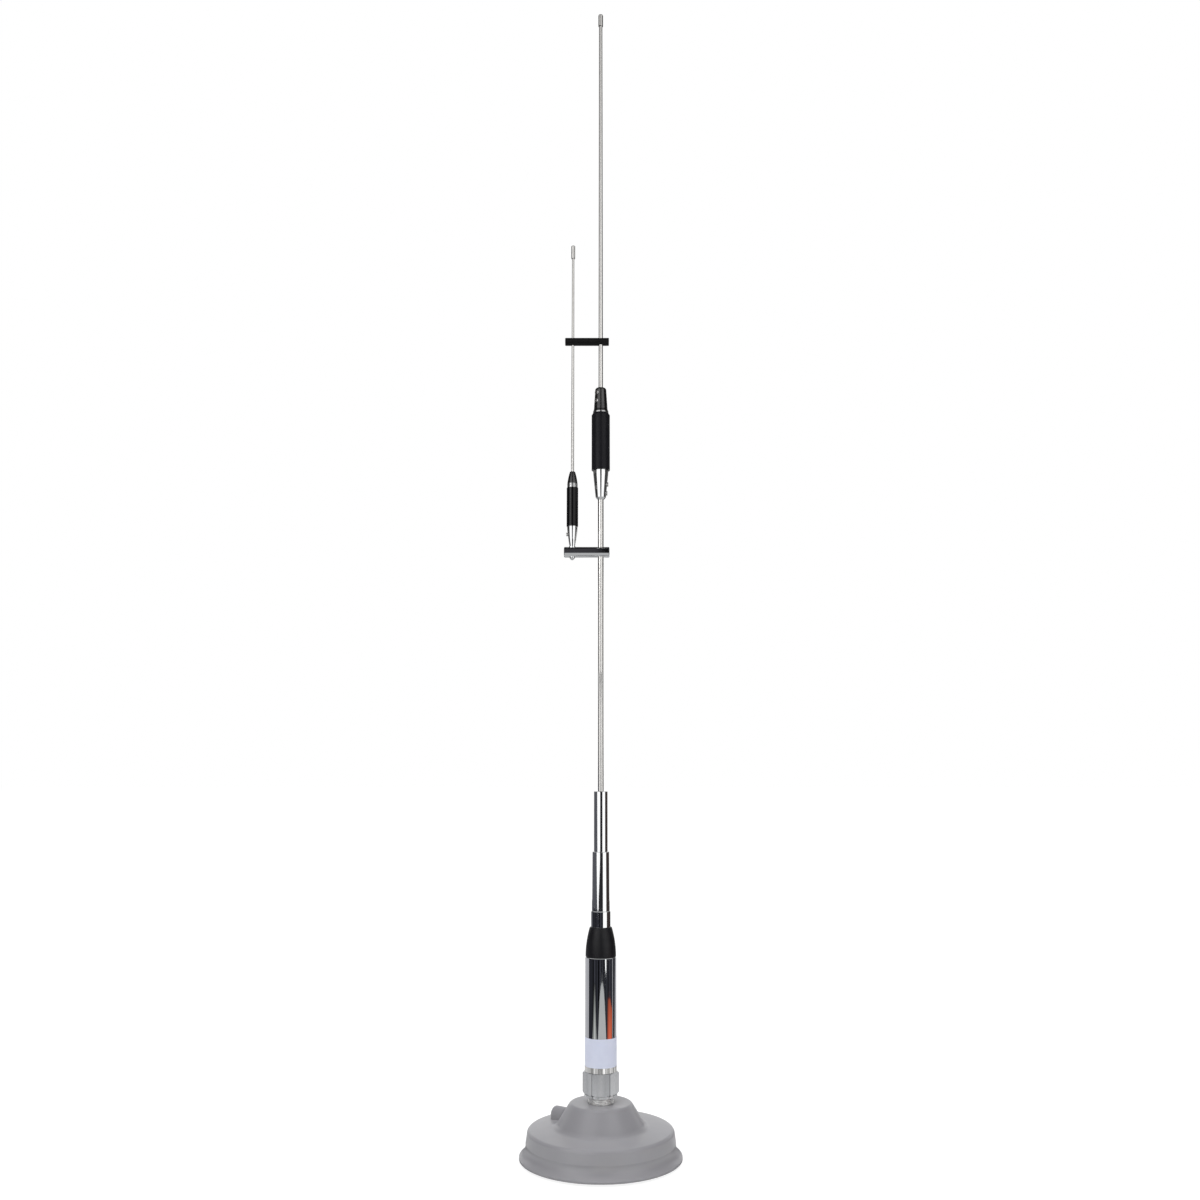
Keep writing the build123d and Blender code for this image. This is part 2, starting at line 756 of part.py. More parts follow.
def clamp_bar():
    """The round cross bar: bored for the mast, flatted and drilled for the stud, tapped in its near end."""
    bar = bevelled_bar(bar_radius, -side_spacing - bar_far_end, bar_near_end, bar_end_chamfer)
    reach = bar_radius + segment_margin
    bar -= rod(mast_hole_radius, -reach, reach)
    rim_height = bar_radius - bar_hole_rim
    rim_spread = reach - rim_height
    rim_cut = Pos(0, 0, rim_height) * Cone(mast_hole_radius, mast_hole_radius + rim_spread,
                                           rim_spread, align=standing)
    bar -= rim_cut
    bar -= Rot(180, 0, 0) * rim_cut
    flat = rod(foot_radius + running_gap, bar_radius - bar_flat_depth, reach)
    drill = rod(side_stud_radius + running_gap, -reach, reach)
    for cut in (flat, Rot(180, 0, 0) * flat, drill):
        bar -= Pos(-side_spacing, 0, 0) * cut
    bar -= cross_rod(clamp_screw_radius + seat_gap, 0, bar_near_end + segment_margin)
    return Pos(0, 0, bar_axis) * bar


def clamp_screw():
    """The grub screw in the end of the bar that grips the mast."""
    screw = grub_screw(clamp_screw_radius, mast_hole_radius, bar_near_end - clamp_screw_inset,
                       grub_key, grub_key_depth)
    return Pos(0, 0, bar_axis) * screw


def side_place(piece):
    """Move a piece from the Z axis to the side radiator's axis."""
    return Pos(-side_spacing, 0, 0) * piece


def side_stud_screw():
    """The domed screw from under the bar that holds the side radiator."""
    dome = ThreePointArc((0, -side_head_height), (side_head_shoulder_radius, -side_head_shoulder_height),
                         (side_head_radius, 0))
    rest = Polyline((side_head_radius, 0), (0, 0), (0, -side_head_height))
    head = Pos(0, 0, bar_flat_bottom) * revolve(Plane.XZ * make_face(dome + rest), Axis.Z)
    shank_foot = bar_flat_bottom - side_head_height / 2
    screw = head + rod(side_stud_radius, shank_foot, bar_flat_top + foot_height + side_stud_depth)
    key_hole = RegularPolygon(side_grub_key / 2, 6, major_radius=False)
    key_cut = extrude(key_hole, amount=side_head_key_depth + segment_margin)
    screw -= Pos(0, 0, bar_flat_bottom - side_head_height - segment_margin) * key_cut
    return side_place(screw)


def side_lower_ferrule():
    """The tapered ferrule on the bar: foot, curved taper, spigot, holes for the stud and the former's pin."""
    foot = bar_flat_top
    nose = foot + foot_height
    spigot_top = side_ferrule_top + side_spigot_length
    side = ThreePointArc(
        (side_ferrule_nose_radius, nose), (side_ferrule_middle_radius, nose + side_ferrule_middle_height),
        (side_ferrule_top_radius, side_ferrule_top))
    rest = Polyline(
        (side_ferrule_top_radius, side_ferrule_top), (side_spigot_radius, side_ferrule_top),
        (side_spigot_radius, spigot_top), (0, spigot_top),
        (0, foot), (foot_radius, foot), (foot_radius, nose), (side_ferrule_nose_radius, nose))
    body = revolve(Plane.XZ * make_face(side + rest), Axis.Z)
    body -= rod(side_stud_radius + seat_gap, foot - segment_margin, nose + side_stud_depth + seat_gap)
    body -= rod(side_former_pin_radius + seat_gap, side_pin_foot - seat_gap, spigot_top + segment_margin)
    grub_hole = cross_rod(side_grub_radius + seat_gap, 0, side_ferrule_top_radius + segment_margin)
    return side_place(body - outwards(grub_hole, 180, nose + side_grub_height))


def side_grub_screw():
    """The grub screw that grips the former's pin."""
    end = side_ferrule_middle_radius + side_grub_proud
    screw = grub_screw(side_grub_radius, side_former_pin_radius + seat_gap, end,
                       side_grub_key, grub_key_depth)
    return side_place(outwards(screw, 180, bar_flat_top + foot_height + side_grub_height))


def side_former_levels():
    """The heights of the side coil's former, between the spigots of its two ferrules."""
    foot = side_ferrule_top + side_spigot_length + seat_gap
    top = side_sleeve_top - side_spigot_length - seat_gap
    return foot, top


def side_coil_former():
    """The side coil's former, with a pin down into the lower ferrule and a bore for the short whip."""
    foot, top = side_former_levels()
    body = turned([
        (0, side_pin_foot), (side_former_pin_radius, side_pin_foot), (side_former_pin_radius, foot),
        (side_spigot_radius, foot), (side_spigot_radius, foot + side_coil_flange),
        (side_former_radius, foot + side_coil_flange), (side_former_radius, top - side_coil_flange),
        (side_spigot_radius, top - side_coil_flange), (side_spigot_radius, top), (0, top)])
    bore_foot = side_crown_top - side_whip_depth - seat_gap
    return side_place(body - rod(side_whip_hole_radius, min(bore_foot, top), top + segment_margin))


def side_coil_winding():
    """The side coil's winding on its former."""
    foot, top = side_former_levels()
    return side_place(winding(side_former_radius + side_wire_radius + seat_gap, side_wire_radius,
                              foot + side_coil_flange, top - side_coil_flange, side_coil_turns))


def side_coil_sleeve():
    """The glossy black sleeve over the side coil, thicker where it sits on the spigots."""
    sleeve = ring(side_sleeve_radius, side_sleeve_bore, side_ferrule_top, side_sleeve_top)
    seat_outer = side_sleeve_bore + side_sleeve_wall / 2
    for foot in (side_ferrule_top, side_sleeve_top - side_sleeve_seat):
        sleeve += ring(seat_outer, side_spigot_radius + seat_gap, foot, foot + side_sleeve_seat)
    return side_place(sleeve)


def side_upper_ferrule():
    """The bright band and the bullet-shaped crown over the side coil, bored for the short whip."""
    spigot_foot = side_sleeve_top - side_spigot_length
    crown = ThreePointArc(
        (side_band_radius, side_band_top),
        (side_crown_middle_radius, side_band_top + side_crown_middle_height),
        (side_crown_top_radius, side_crown_top))
    rest = Polyline(
        (side_crown_top_radius, side_crown_top), (0, side_crown_top), (0, spigot_foot),
        (side_spigot_radius, spigot_foot), (side_spigot_radius, side_sleeve_top),
        (side_band_radius, side_sleeve_top), (side_band_radius, side_band_top))
    section = round_corner(make_face(crown + rest), (side_crown_top_radius, side_crown_top), side_crown_round)
    body = revolve(Plane.XZ * section, Axis.Z)
    return side_place(body - rod(side_whip_hole_radius, spigot_foot - segment_margin,
                                 side_crown_top + segment_margin))


def side_whip():
    """The short whip, from the upper ferrule's bore to the inside of its cap."""
    whip = tapered_whip(side_whip_foot_radius, side_whip_tip_radius, side_crown_top - side_whip_depth,
                        side_crown_top, side_whip_top + side_cap_overlap)
    return side_place(whip)


def side_whip_tip():
    """The cap on the short whip."""
    return side_place(tip_cap(side_cap_radius, side_whip_tip_radius + seat_gap * 2,
                              side_whip_top + side_cap_height, side_cap_height,
                              side_cap_overlap + seat_gap, side_cap_round))


def spacer_bar():
    """The black round spacer, with a hole for each whip."""
    bar = bevelled_bar(spacer_radius, -side_spacing - spacer_far_end, spacer_near_end, spacer_end_chamfer)
    reach = spacer_radius + segment_margin
    bar -= rod(whip_hole_radius, -reach, reach)
    bar -= side_place(rod(side_whip_hole_radius, -reach, reach))
    return Pos(0, 0, spacer_axis) * bar


pieces = [
    base_shell, base_pad, magnet_ring, steel_yoke,
    socket_body, socket_screws, socket_insulator, socket_contact,
    plug_body, plug_insulator, plug_pin, coupling_nut,
    base_tube, label_sleeve, base_coil_former, base_coil_winding,
    feed_insulator, boot, collar, lower_sleeve, upper_sleeve, mast,
    main_lower_ferrule, main_lower_grub_screws, main_coil_former, main_coil_winding,
    main_coil_sleeve, main_upper_ferrule, main_upper_grub_screws, main_whip, main_whip_tip,
    clamp_bar, clamp_screw, side_stud_screw, side_lower_ferrule, side_grub_screw,
    side_coil_former, side_coil_winding, side_coil_sleeve, side_upper_ferrule,
    side_whip, side_whip_tip, spacer_bar]

os.makedirs("parts", exist_ok=True)
for piece in pieces:
    export_step(piece(), f"parts/{piece.__name__}.step")
    print(piece.__name__)
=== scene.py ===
# %% [markdown]
# # A dual band whip antenna on a magnetic base
# The object is a tall, slim stack of turned parts: a grey die-cast base with a
# magnet in it, a screw coupling, a chrome tube, stepped chrome sleeves, a mast,
# two black loading coils and two thin whips. The exact solids come from a CAD
# frame that is already packed. This notebook dresses that frame: it gives every
# part a finish, adds the fine forms that the solids leave out, and lights it.

# %% Load the frame
import bpy
import json
from math import cos, pi, radians, sin
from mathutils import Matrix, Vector


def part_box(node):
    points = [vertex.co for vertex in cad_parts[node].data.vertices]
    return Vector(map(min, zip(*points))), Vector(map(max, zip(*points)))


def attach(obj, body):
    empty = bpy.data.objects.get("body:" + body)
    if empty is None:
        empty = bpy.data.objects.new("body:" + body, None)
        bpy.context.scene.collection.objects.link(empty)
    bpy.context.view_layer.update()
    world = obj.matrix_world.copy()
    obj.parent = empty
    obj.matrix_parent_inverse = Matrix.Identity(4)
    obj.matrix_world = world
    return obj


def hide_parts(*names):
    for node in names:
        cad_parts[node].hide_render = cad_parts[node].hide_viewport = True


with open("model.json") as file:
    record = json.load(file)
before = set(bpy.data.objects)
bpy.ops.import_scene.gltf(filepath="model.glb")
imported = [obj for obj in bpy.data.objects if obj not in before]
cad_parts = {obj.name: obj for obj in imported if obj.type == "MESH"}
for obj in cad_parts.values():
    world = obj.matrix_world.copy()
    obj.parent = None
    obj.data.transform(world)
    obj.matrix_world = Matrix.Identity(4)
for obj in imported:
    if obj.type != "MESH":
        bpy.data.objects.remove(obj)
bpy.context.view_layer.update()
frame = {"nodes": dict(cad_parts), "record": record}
nodes = frame["nodes"]

# %% [markdown]
# ## Camera
# The photograph shows the whole antenna upright in a square frame. The base is
# seen from above and the whips from below, so the lens stands about a third of
# the way up, close by, and is tipped a little upwards.

# %% Camera
camera_distance = 0.775
camera_height = 0.236
camera_sideways = -0.0005
camera_pitch = radians(8.06)
lens_length = 36.0
sensor_width = 36.0

camera_data = bpy.data.cameras.new("camera")
camera_data.lens = lens_length
camera_data.sensor_width = sensor_width
camera = bpy.data.objects.new("camera", camera_data)
camera.location = (camera_sideways, -camera_distance, camera_height)
camera.rotation_euler = (pi / 2 + camera_pitch, 0, 0)
bpy.context.scene.collection.objects.link(camera)
bpy.context.scene.camera = camera
bpy.context.scene.view_settings.view_transform = "Standard"
print("camera tipped up by", round(camera_pitch * 180 / pi, 2), "degrees")

# %% [markdown]
# ## A short hand for shader nodes
# Every finish below is a small node tree. A node could be made, set and linked
# in five lines each time. One helper does it in a line: it takes the kind of
# node, what goes into its sockets, and its settings. A value goes in as a value
# and a socket of another node goes in as a link.

# %% Node helper
def node(tree, kind, sockets=None, **settings):
    """Make a node in a tree, set it, and fill its inputs with values or links."""
    made = tree.nodes.new(kind)
    for setting, value in settings.items():
        setattr(made, setting, value)
    for socket, value in (sockets or {}).items():
        if isinstance(value, bpy.types.NodeSocket):
            tree.links.new(value, made.inputs[socket])
        else:
            made.inputs[socket].default_value = value
    return made


def grey(level, tint=(1.0, 1.0, 1.0)):
    """A colour with four channels from one level and a slight tint."""
    return (level * tint[0], level * tint[1], level * tint[2], 1.0)


print("node helper ready")

# %% [markdown]
# ## Patterns that lie on the object
# Fine detail has to stay put when a part moves, so each pattern reads Object
# coordinates. Turned parts carry rings round their axis, drawn bars carry marks
# along it, and moulded or painted parts carry an even grain. All of them are one
# noise texture that is stretched differently.

# %% Pattern helpers
even = (1.0, 1.0, 1.0)
rings_round_z = (0.02, 0.02, 1.0)
rings_round_x = (1.0, 0.02, 0.02)
lines_along_z = (1.0, 1.0, 0.02)


def pattern(tree, size, stretch=even, detail=3.0):
    """A noise between 0 and 1 whose features are about as large as size, in metres."""
    place = node(tree, "ShaderNodeTexCoord").outputs["Object"]
    scaled = node(tree, "ShaderNodeMapping", {
        "Vector": place, "Scale": tuple(part / size for part in stretch)}).outputs["Vector"]
    return node(tree, "ShaderNodeTexNoise", {
        "Vector": scaled, "Scale": 1.0, "Detail": detail}).outputs["Fac"]


def between(tree, factor, low, high, start=0.3, end=0.7):
    """Spread a pattern's middle range over two numbers."""
    return node(tree, "ShaderNodeMapRange", {
        "Value": factor, "From Min": start, "From Max": end, "To Min": low, "To Max": high}).outputs["Result"]


def mixed(tree, factor, first, second):
    """Blend two colours by a pattern."""
    # A Mix node's colour sockets are called A, B and Result like those for numbers,
    # so they are reached by their places in the list.
    mix = node(tree, "ShaderNodeMix", data_type="RGBA")
    for socket, value in ((mix.inputs[0], factor), (mix.inputs[6], first), (mix.inputs[7], second)):
        if isinstance(value, bpy.types.NodeSocket):
            tree.links.new(value, socket)
        else:
            socket.default_value = value
    return mix.outputs[2]


def bump(tree, height, strength, distance):
    """Turn a pattern into a fine relief."""
    return node(tree, "ShaderNodeBump", {
        "Height": height, "Strength": strength, "Distance": distance}).outputs["Normal"]


print("patterns: even grain, rings round an upright axis, rings round a bar, lines along a bar")

# %% [markdown]
# ## A finish from a few words
# Most finishes here differ in five things: two close colours that mix in soft
# patches, two roughness values, and the fine marks that the tool or the mould
# left. One function builds such a tree, and each finish is then a single call
# that says what the real surface is. A finish in view keeps both its roughness
# values on the same side of 0.27. Cycles guides its noise filter differently for
# smoother and for rougher surfaces, and a finish that crossed that line had specks.

# %% Finish builder
finishes = {}


def finish(name, first, second, patch, rough, marks, stretch=even, strength=0.1, depth=0.00002,
           patch_stretch=even, **shader_sockets):
    """Build one material: colour patches, varied roughness and a fine relief."""
    material = bpy.data.materials.new(name)
    material.use_nodes = True
    tree = material.node_tree
    shader = tree.nodes["Principled BSDF"]
    patches = between(tree, pattern(tree, patch, patch_stretch), 0.0, 1.0)
    tree.links.new(mixed(tree, patches, first, second), shader.inputs["Base Color"])
    wear = pattern(tree, patch * 0.6, detail=5.0)
    tree.links.new(between(tree, wear, rough[0], rough[1]), shader.inputs["Roughness"])
    relief = bump(tree, pattern(tree, marks, stretch, detail=4.0), strength, depth)
    tree.links.new(relief, shader.inputs["Normal"])
    for socket, value in shader_sockets.items():
        shader.inputs[socket.replace("_", " ")].default_value = value
    finishes[name] = material
    return material


print("finish builder ready")

# %% [markdown]
# ## Bright metal
# Polished chrome has almost no colour of its own. It shows the studio, softened
# by faint haze where hands have touched it. The plug is bright nickel on turned
# brass, with rings from the lathe. The nut is cut from drawn hexagonal bar, so its
# marks run along it, and its thread on the base is duller, as fine flanks scatter
# the light. The mast and the whips are ground stainless rod, with very fine marks
# across their length. The two upper ferrules are chrome too, but their cones are
# coloured near black as a painted dark reflection of the surroundings they face.

# %% Metals
finish("chrome", grey(0.72, (0.98, 0.99, 1.0)), grey(0.76, (0.99, 1.0, 1.0)), 0.012, (0.03, 0.06),
       0.0012, rings_round_z, 0.015, 0.000002, Metallic=1.0)
# dark_chrome: chrome coloured near black, a painted dark reflection of what the ferrules' cones face.
finish("dark_chrome", grey(0.062, (1.0, 0.98, 1.0)), grey(0.078), 0.006, (0.16, 0.26),
       0.0003, rings_round_z, 0.05, 0.000006, Metallic=1.0)
finish("nickel", grey(0.60, (1.0, 0.99, 0.98)), grey(0.64, (1.0, 1.0, 0.99)), 0.006, (0.285, 0.34),
       0.0005, rings_round_z, 0.02, 0.000004, Metallic=1.0)
finish("drawn_nickel", grey(0.56, (0.98, 1.0, 1.04)), grey(0.66, (0.99, 1.0, 1.02)), 0.003, (0.22, 0.265),
       0.001, lines_along_z, 0.004, 0.000001, patch_stretch=lines_along_z, Metallic=1.0)
finish("thread_nickel", grey(0.86, (1.0, 0.99, 0.98)), grey(0.90, (1.0, 1.0, 0.99)), 0.006, (0.46, 0.54),
       0.0005, rings_round_z, 0.01, 0.000002, Metallic=1.0)
finish("bright_nickel", grey(0.70, (1.0, 0.99, 0.98)), grey(0.74, (1.0, 1.0, 0.99)), 0.006, (0.08, 0.12),
       0.0004, rings_round_z, 0.03, 0.000004, Metallic=1.0)
finish("stainless", grey(0.64, (1.0, 0.98, 0.95)), grey(0.67, (1.0, 0.985, 0.955)), 0.02, (0.17, 0.21),
       0.0006, rings_round_z, 0.01, 0.000002, Metallic=1.0)
finish("screw_steel", grey(0.55, (1.0, 0.98, 0.95)), grey(0.68), 0.0012, (0.16, 0.26),
       0.0002, even, 0.25, 0.00001, Metallic=1.0)
finish("zinc_steel", grey(0.55, (0.97, 0.99, 1.0)), grey(0.66, (1.0, 0.99, 0.95)), 0.007, (0.3, 0.48),
       0.001, even, 0.2, 0.00002, Metallic=1.0)
finish("contact_brass", (0.72, 0.48, 0.17, 1.0), (0.60, 0.38, 0.13, 1.0), 0.003, (0.22, 0.36),
       0.0003, rings_round_z, 0.2, 0.00001, Metallic=1.0)
finish("copper", (0.62, 0.24, 0.10, 1.0), (0.50, 0.18, 0.07, 1.0), 0.004, (0.2, 0.3),
       0.0004, even, 0.1, 0.00001, Metallic=1.0, Coat_Weight=0.6, Coat_Roughness=0.12)
print(len(finishes), "metals")

# %% [markdown]
# ## Paint, rubber and plastic
# The cover is die-cast and painted a half gloss grey, with the fine orange peel
# of spray paint. The boot is a matt black moulding. The long sleeve of the main coil
# has a satin skin and the short one of the side coil a glossy skin. The spacer is
# a machined black plastic rod.

# %% Plastics and paint
finish("cover_grey", grey(0.33, (0.98, 0.975, 1.04)), grey(0.345, (1.0, 0.985, 1.03)), 0.014, (0.285, 0.33),
       0.0011, even, 0.03, 0.00001)
finish("pad_black", grey(0.018), grey(0.03), 0.003, (0.75, 0.9), 0.0006, even, 0.4, 0.00008)
finish("ferrite", grey(0.035, (1.0, 0.98, 0.96)), grey(0.055), 0.0025, (0.5, 0.7), 0.0004, even, 0.4, 0.00005)
finish("white_insulator", grey(0.80, (1.0, 1.0, 0.98)), grey(0.74, (1.0, 0.99, 0.95)), 0.004, (0.4, 0.5),
       0.0005, rings_round_z, 0.15, 0.00001, Subsurface_Weight=0.1, Subsurface_Scale=0.001)
finish("wrap_film", (0.73, 0.77, 0.94, 1.0), (0.77, 0.81, 0.97, 1.0), 0.006, (0.28, 0.4),
       0.0016, even, 0.06, 0.00003, Coat_Weight=0.25, Coat_Roughness=0.15)
finish("bobbin", (0.48, 0.37, 0.20, 1.0), (0.40, 0.30, 0.15, 1.0), 0.003, (0.45, 0.6),
       0.0005, rings_round_z, 0.2, 0.00002)
finish("boot_black", grey(0.006, (1.0, 0.98, 1.3)), grey(0.009, (1.0, 0.98, 1.2)), 0.005, (0.33, 0.4),
       0.0003, even, 0.3, 0.00003, Specular_IOR_Level=0.22)
finish("sleeve_satin_black", grey(0.0085, (1.0, 0.98, 1.3)), grey(0.0105, (1.0, 0.98, 1.25)), 0.006, (0.285, 0.34),
       0.0003, even, 0.14, 0.00001, Specular_IOR_Level=0.12)
finish("sleeve_gloss_black", grey(0.002, (1.0, 1.0, 1.4)), grey(0.003, (1.0, 1.0, 1.3)), 0.006, (0.08, 0.13),
       0.002, even, 0.03, 0.00001, Specular_IOR_Level=0.22)
finish("spacer_black", grey(0.004), grey(0.007), 0.003, (0.34, 0.5),
       0.0003, rings_round_x, 0.3, 0.00002, Specular_IOR_Level=0.15)
print(len(finishes), "finishes in all")

# %% [markdown]
# ## Bright foot bands
# The two upper ferrules are chrome pieces whose cones are coloured near black as a
# painted dark reflection, and each has a lighter grey turned band at its foot. It
# is the same piece with two colours, so the finish itself changes with the height
# on the part, which Object coordinates give.

# %% Bands by height
def banded(name, bands, colour):
    """Give a finish another colour between pairs of heights on the part."""
    tree = finishes[name].node_tree
    shader = tree.nodes["Principled BSDF"]
    before = shader.inputs["Base Color"].links[0].from_socket
    place = node(tree, "ShaderNodeTexCoord").outputs["Object"]
    height = node(tree, "ShaderNodeSeparateXYZ", {0: place}).outputs["Z"]
    for low, high in bands:
        inside = node(tree, "ShaderNodeMath", {0: height, 1: (low + high) / 2, 2: (high - low) / 2},
                      operation="COMPARE")
        before = mixed(tree, inside.outputs[0], before, colour)
    tree.links.new(before, shader.inputs["Base Color"])


main_sleeve_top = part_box("main_coil_sleeve")[1][2]
side_sleeve_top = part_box("side_coil_sleeve")[1][2]
main_band_height = 0.0009
side_band_height = 0.0028
# Painted dark reflection on the ferrules, except for the foot bands, which get a lighter grey.
banded("dark_chrome", [(main_sleeve_top - 0.001, main_sleeve_top + main_band_height),
                       (side_sleeve_top - 0.001, side_sleeve_top + side_band_height)], grey(0.36))
print("bands start at", round(main_sleeve_top * 1000, 1), "and", round(side_sleeve_top * 1000, 1), "mm")

# %% [markdown]
# ## Darker lines on the nut's corners
# Thin darker upright lines run along the nut's six corners. The corners stand every
# sixty degrees round the nut's axis, so the angle of a point tells how far it is
# from the nearest one.

# %% Lines along the corners
def dark_corner_lines(name, corners, colour, narrow, wide):
    """Darken thin upright lines at equal angles round the axis, given as shares of one flat."""
    tree = finishes[name].node_tree
    shader = tree.nodes["Principled BSDF"]
    plating = shader.inputs["Base Color"].links[0].from_socket
    place = node(tree, "ShaderNodeTexCoord").outputs["Object"]
    side = node(tree, "ShaderNodeSeparateXYZ", {0: place})
    angle = node(tree, "ShaderNodeMath", {0: side.outputs["Y"], 1: side.outputs["X"]}, operation="ARCTAN2")
    flats = node(tree, "ShaderNodeMath", {0: angle.outputs[0], 1: corners / (2 * pi), 2: 0.5},
                 operation="MULTIPLY_ADD")
    share = node(tree, "ShaderNodeMath", {0: flats.outputs[0]}, operation="FRACT")
    middle = node(tree, "ShaderNodeMath", {0: share.outputs[0], 1: 0.5}, operation="SUBTRACT")
    away = node(tree, "ShaderNodeMath", {0: middle.outputs[0]}, operation="ABSOLUTE")
    line = between(tree, away.outputs[0], 1.0, 0.0, narrow, wide)
    tree.links.new(mixed(tree, line, plating, colour), shader.inputs["Base Color"])


dark_corner_lines("drawn_nickel", 6, grey(0.36, (0.98, 1.0, 1.03)), 0.01, 0.04)
print("dull corners on the nut")

# %% [markdown]
# ## Painted shade on the cover's slopes
# The faces of the cover that lean between upright and level get a darker grey than
# the others. This is painted shade, so that the level tops look the lightest. How
# steep a face is can be read from its own normal, which stays with the part when
# the part moves.

# %% Darker slopes
def shade_slopes(name, slope_shade_colour):
    """Darken, as painted shade, the faces of a finish that lean between upright and level."""
    tree = finishes[name].node_tree
    shader = tree.nodes["Principled BSDF"]
    paint = shader.inputs["Base Color"].links[0].from_socket
    facing = node(tree, "ShaderNodeTexCoord").outputs["Normal"]
    upward = node(tree, "ShaderNodeSeparateXYZ", {0: facing}).outputs["Z"]
    slope_shaded = mixed(tree, between(tree, upward, 0.0, 1.0, 0.12, 0.45), paint, slope_shade_colour)
    level = mixed(tree, between(tree, upward, 0.0, 1.0, 0.88, 0.97), slope_shaded, paint)
    tree.links.new(level, shader.inputs["Base Color"])


# Painted shade: the cover's slopes are coloured darker than its level and upright faces.
shade_slopes("cover_grey", grey(0.29, (1.0, 0.985, 1.05)))
print("darker slopes on the cover")

# %% [markdown]
# ## Put the finishes on
# Each part of the frame names the slot of its finish. The finishes carry the same
# names as the slots, so a loop can dress every part and report any that is left.

# %% Dress the frame
slot_of = {part["node"]: part["material_slot"] for part in frame["record"]["subparts"]}
for name, part in nodes.items():
    part.data.materials.clear()
    part.data.materials.append(finishes[slot_of[name]])
for name, special in (("plug_body", "bright_nickel"), ("coupling_nut", "drawn_nickel")):
    nodes[name].data.materials[0] = finishes[special]
print({name: part.data.materials[0].name for name, part in nodes.items()})

# %% [markdown]
# ## Shapes that follow a rule
# Some forms are finer than the solids: a thread, a film with a lapped end, small
# screws. They could be modelled by hand, but each follows a rule, so a Geometry
# Nodes tree makes it and a new number makes a new one. A helper opens a tree with
# named inputs. Another sets those inputs, runs the tree once and keeps the result
# as one plain mesh, which is what a frame piece has to be.

# %% Tree helpers
def new_tree(name, inputs):
    """An empty tree with named inputs, each given as (kind of socket, first value)."""
    tree = bpy.data.node_groups.new(name, "GeometryNodeTree")
    for title, (kind, value) in inputs.items():
        socket = tree.interface.new_socket(title, in_out="INPUT", socket_type="NodeSocket" + kind)
        if value is not None:
            socket.default_value = value
    tree.interface.new_socket("Geometry", in_out="OUTPUT", socket_type="NodeSocketGeometry")
    return tree, tree.nodes.new("NodeGroupInput").outputs


def close_tree(tree, geometry, material):
    """The usual end of a tree: make instances real, give the material, hand over."""
    real = node(tree, "GeometryNodeRealizeInstances", {"Geometry": geometry})
    coloured = node(tree, "GeometryNodeSetMaterial", {"Geometry": real.outputs[0], "Material": material})
    node(tree, "NodeGroupOutput", {"Geometry": coloured.outputs[0]})


def shaped(name, tree, values, start=None, crease=35):
    """Run a tree with these input values and return an object with the finished mesh."""
    source = bpy.data.objects.new(name + "_source", start or bpy.data.meshes.new(name + "_start"))
    bpy.context.scene.collection.objects.link(source)
    modifier = source.modifiers.new("shape", "NODES")
    modifier.node_group = tree
    identifiers = {item.name: item.identifier for item in tree.interface.items_tree if item.in_out == "INPUT"}
    for title, value in values.items():
        modifier[identifiers[title]] = value
    mesh = bpy.data.meshes.new_from_object(source.evaluated_get(bpy.context.evaluated_depsgraph_get()))
    source.modifiers.clear()
    bpy.data.objects.remove(source)
    mesh.name = name
    mesh.polygons.foreach_set("use_smooth", [True] * len(mesh.polygons))
    mesh.set_sharp_from_angle(angle=radians(crease))
    made = bpy.data.objects.new(name, mesh)
    bpy.context.scene.collection.objects.link(made)
    return made


def maths(tree, operation, *values):
    """One number from a Math node."""
    return node(tree, "ShaderNodeMath", dict(enumerate(values)), operation=operation).outputs[0]


print("tree helpers ready")

# %% [markdown]
# ## One tree for turned pieces
# A lathe piece is a profile carried round an axis. The tree starts from a flat
# grid: one way across it becomes the angle, the other way walks along the
# profile. It goes up the outside, over the top and down a bore. The outside can
# swell like an ogive, round off at its ends and carry a helical groove. The bore
# can go right through or end blind, and it can be a hexagon for a key.

# %% Inputs of the turned tree
turned_tree, given = new_tree("turned_piece", {
    "Foot": ("Float", 0.0), "Height": ("Float", 0.01), "Foot Radius": ("Float", 0.005),
    "Top Radius": ("Float", 0.005), "Power": ("Float", 1.0), "Edge": ("Float", 0.0002),
    "Pitch": ("Float", 0.001), "Groove": ("Float", 0.0), "Bore": ("Float", 0.002),
    "Bore Depth": ("Float", 0.01), "Hexagon": ("Float", 0.0), "Blind": ("Float", 0.0),
    "Rows": ("Int", 40), "Segments": ("Int", 96), "Material": ("Material", None)})
print("turned tree with", len(given) - 1, "inputs")

# %% From a grid to a turned sheet
merge_distance = 0.000001


def grid_shares(tree, across, along):
    """A grid and, for each of its points, the share of the way across and along it."""
    grid = node(tree, "GeometryNodeMeshGrid", {
        "Size X": 1.0, "Size Y": 1.0, "Vertices X": across, "Vertices Y": along})
    spot = node(tree, "ShaderNodeSeparateXYZ", {0: tree.nodes.new("GeometryNodeInputPosition").outputs[0]})
    shares = [maths(tree, "ADD", spot.outputs[way], 0.5) for way in ("X", "Y")]
    return grid.outputs["Mesh"], shares[0], shares[1]


def put_round(tree, geometry, angle, radius, height):
    """Move the points of a grid to these angles, radii and heights."""
    place = node(tree, "ShaderNodeCombineXYZ", {
        "X": maths(tree, "MULTIPLY", radius, maths(tree, "COSINE", angle)),
        "Y": maths(tree, "MULTIPLY", radius, maths(tree, "SINE", angle)), "Z": height})
    return node(tree, "GeometryNodeSetPosition", {
        "Geometry": geometry, "Position": place.outputs[0]}).outputs[0]


print("points merge within", merge_distance, "m")

# %% [markdown]
# ## The outside of a turned piece
# A row's share of the height gives the plain outline. Near both ends a quarter
# circle takes the edge off. The thread is a triangle wave with its tips cut off,
# whose phase moves on by one pitch for each turn, and it runs out at both ends.

# %% Outside radius
thread_root, thread_crest = 0.12, 0.88


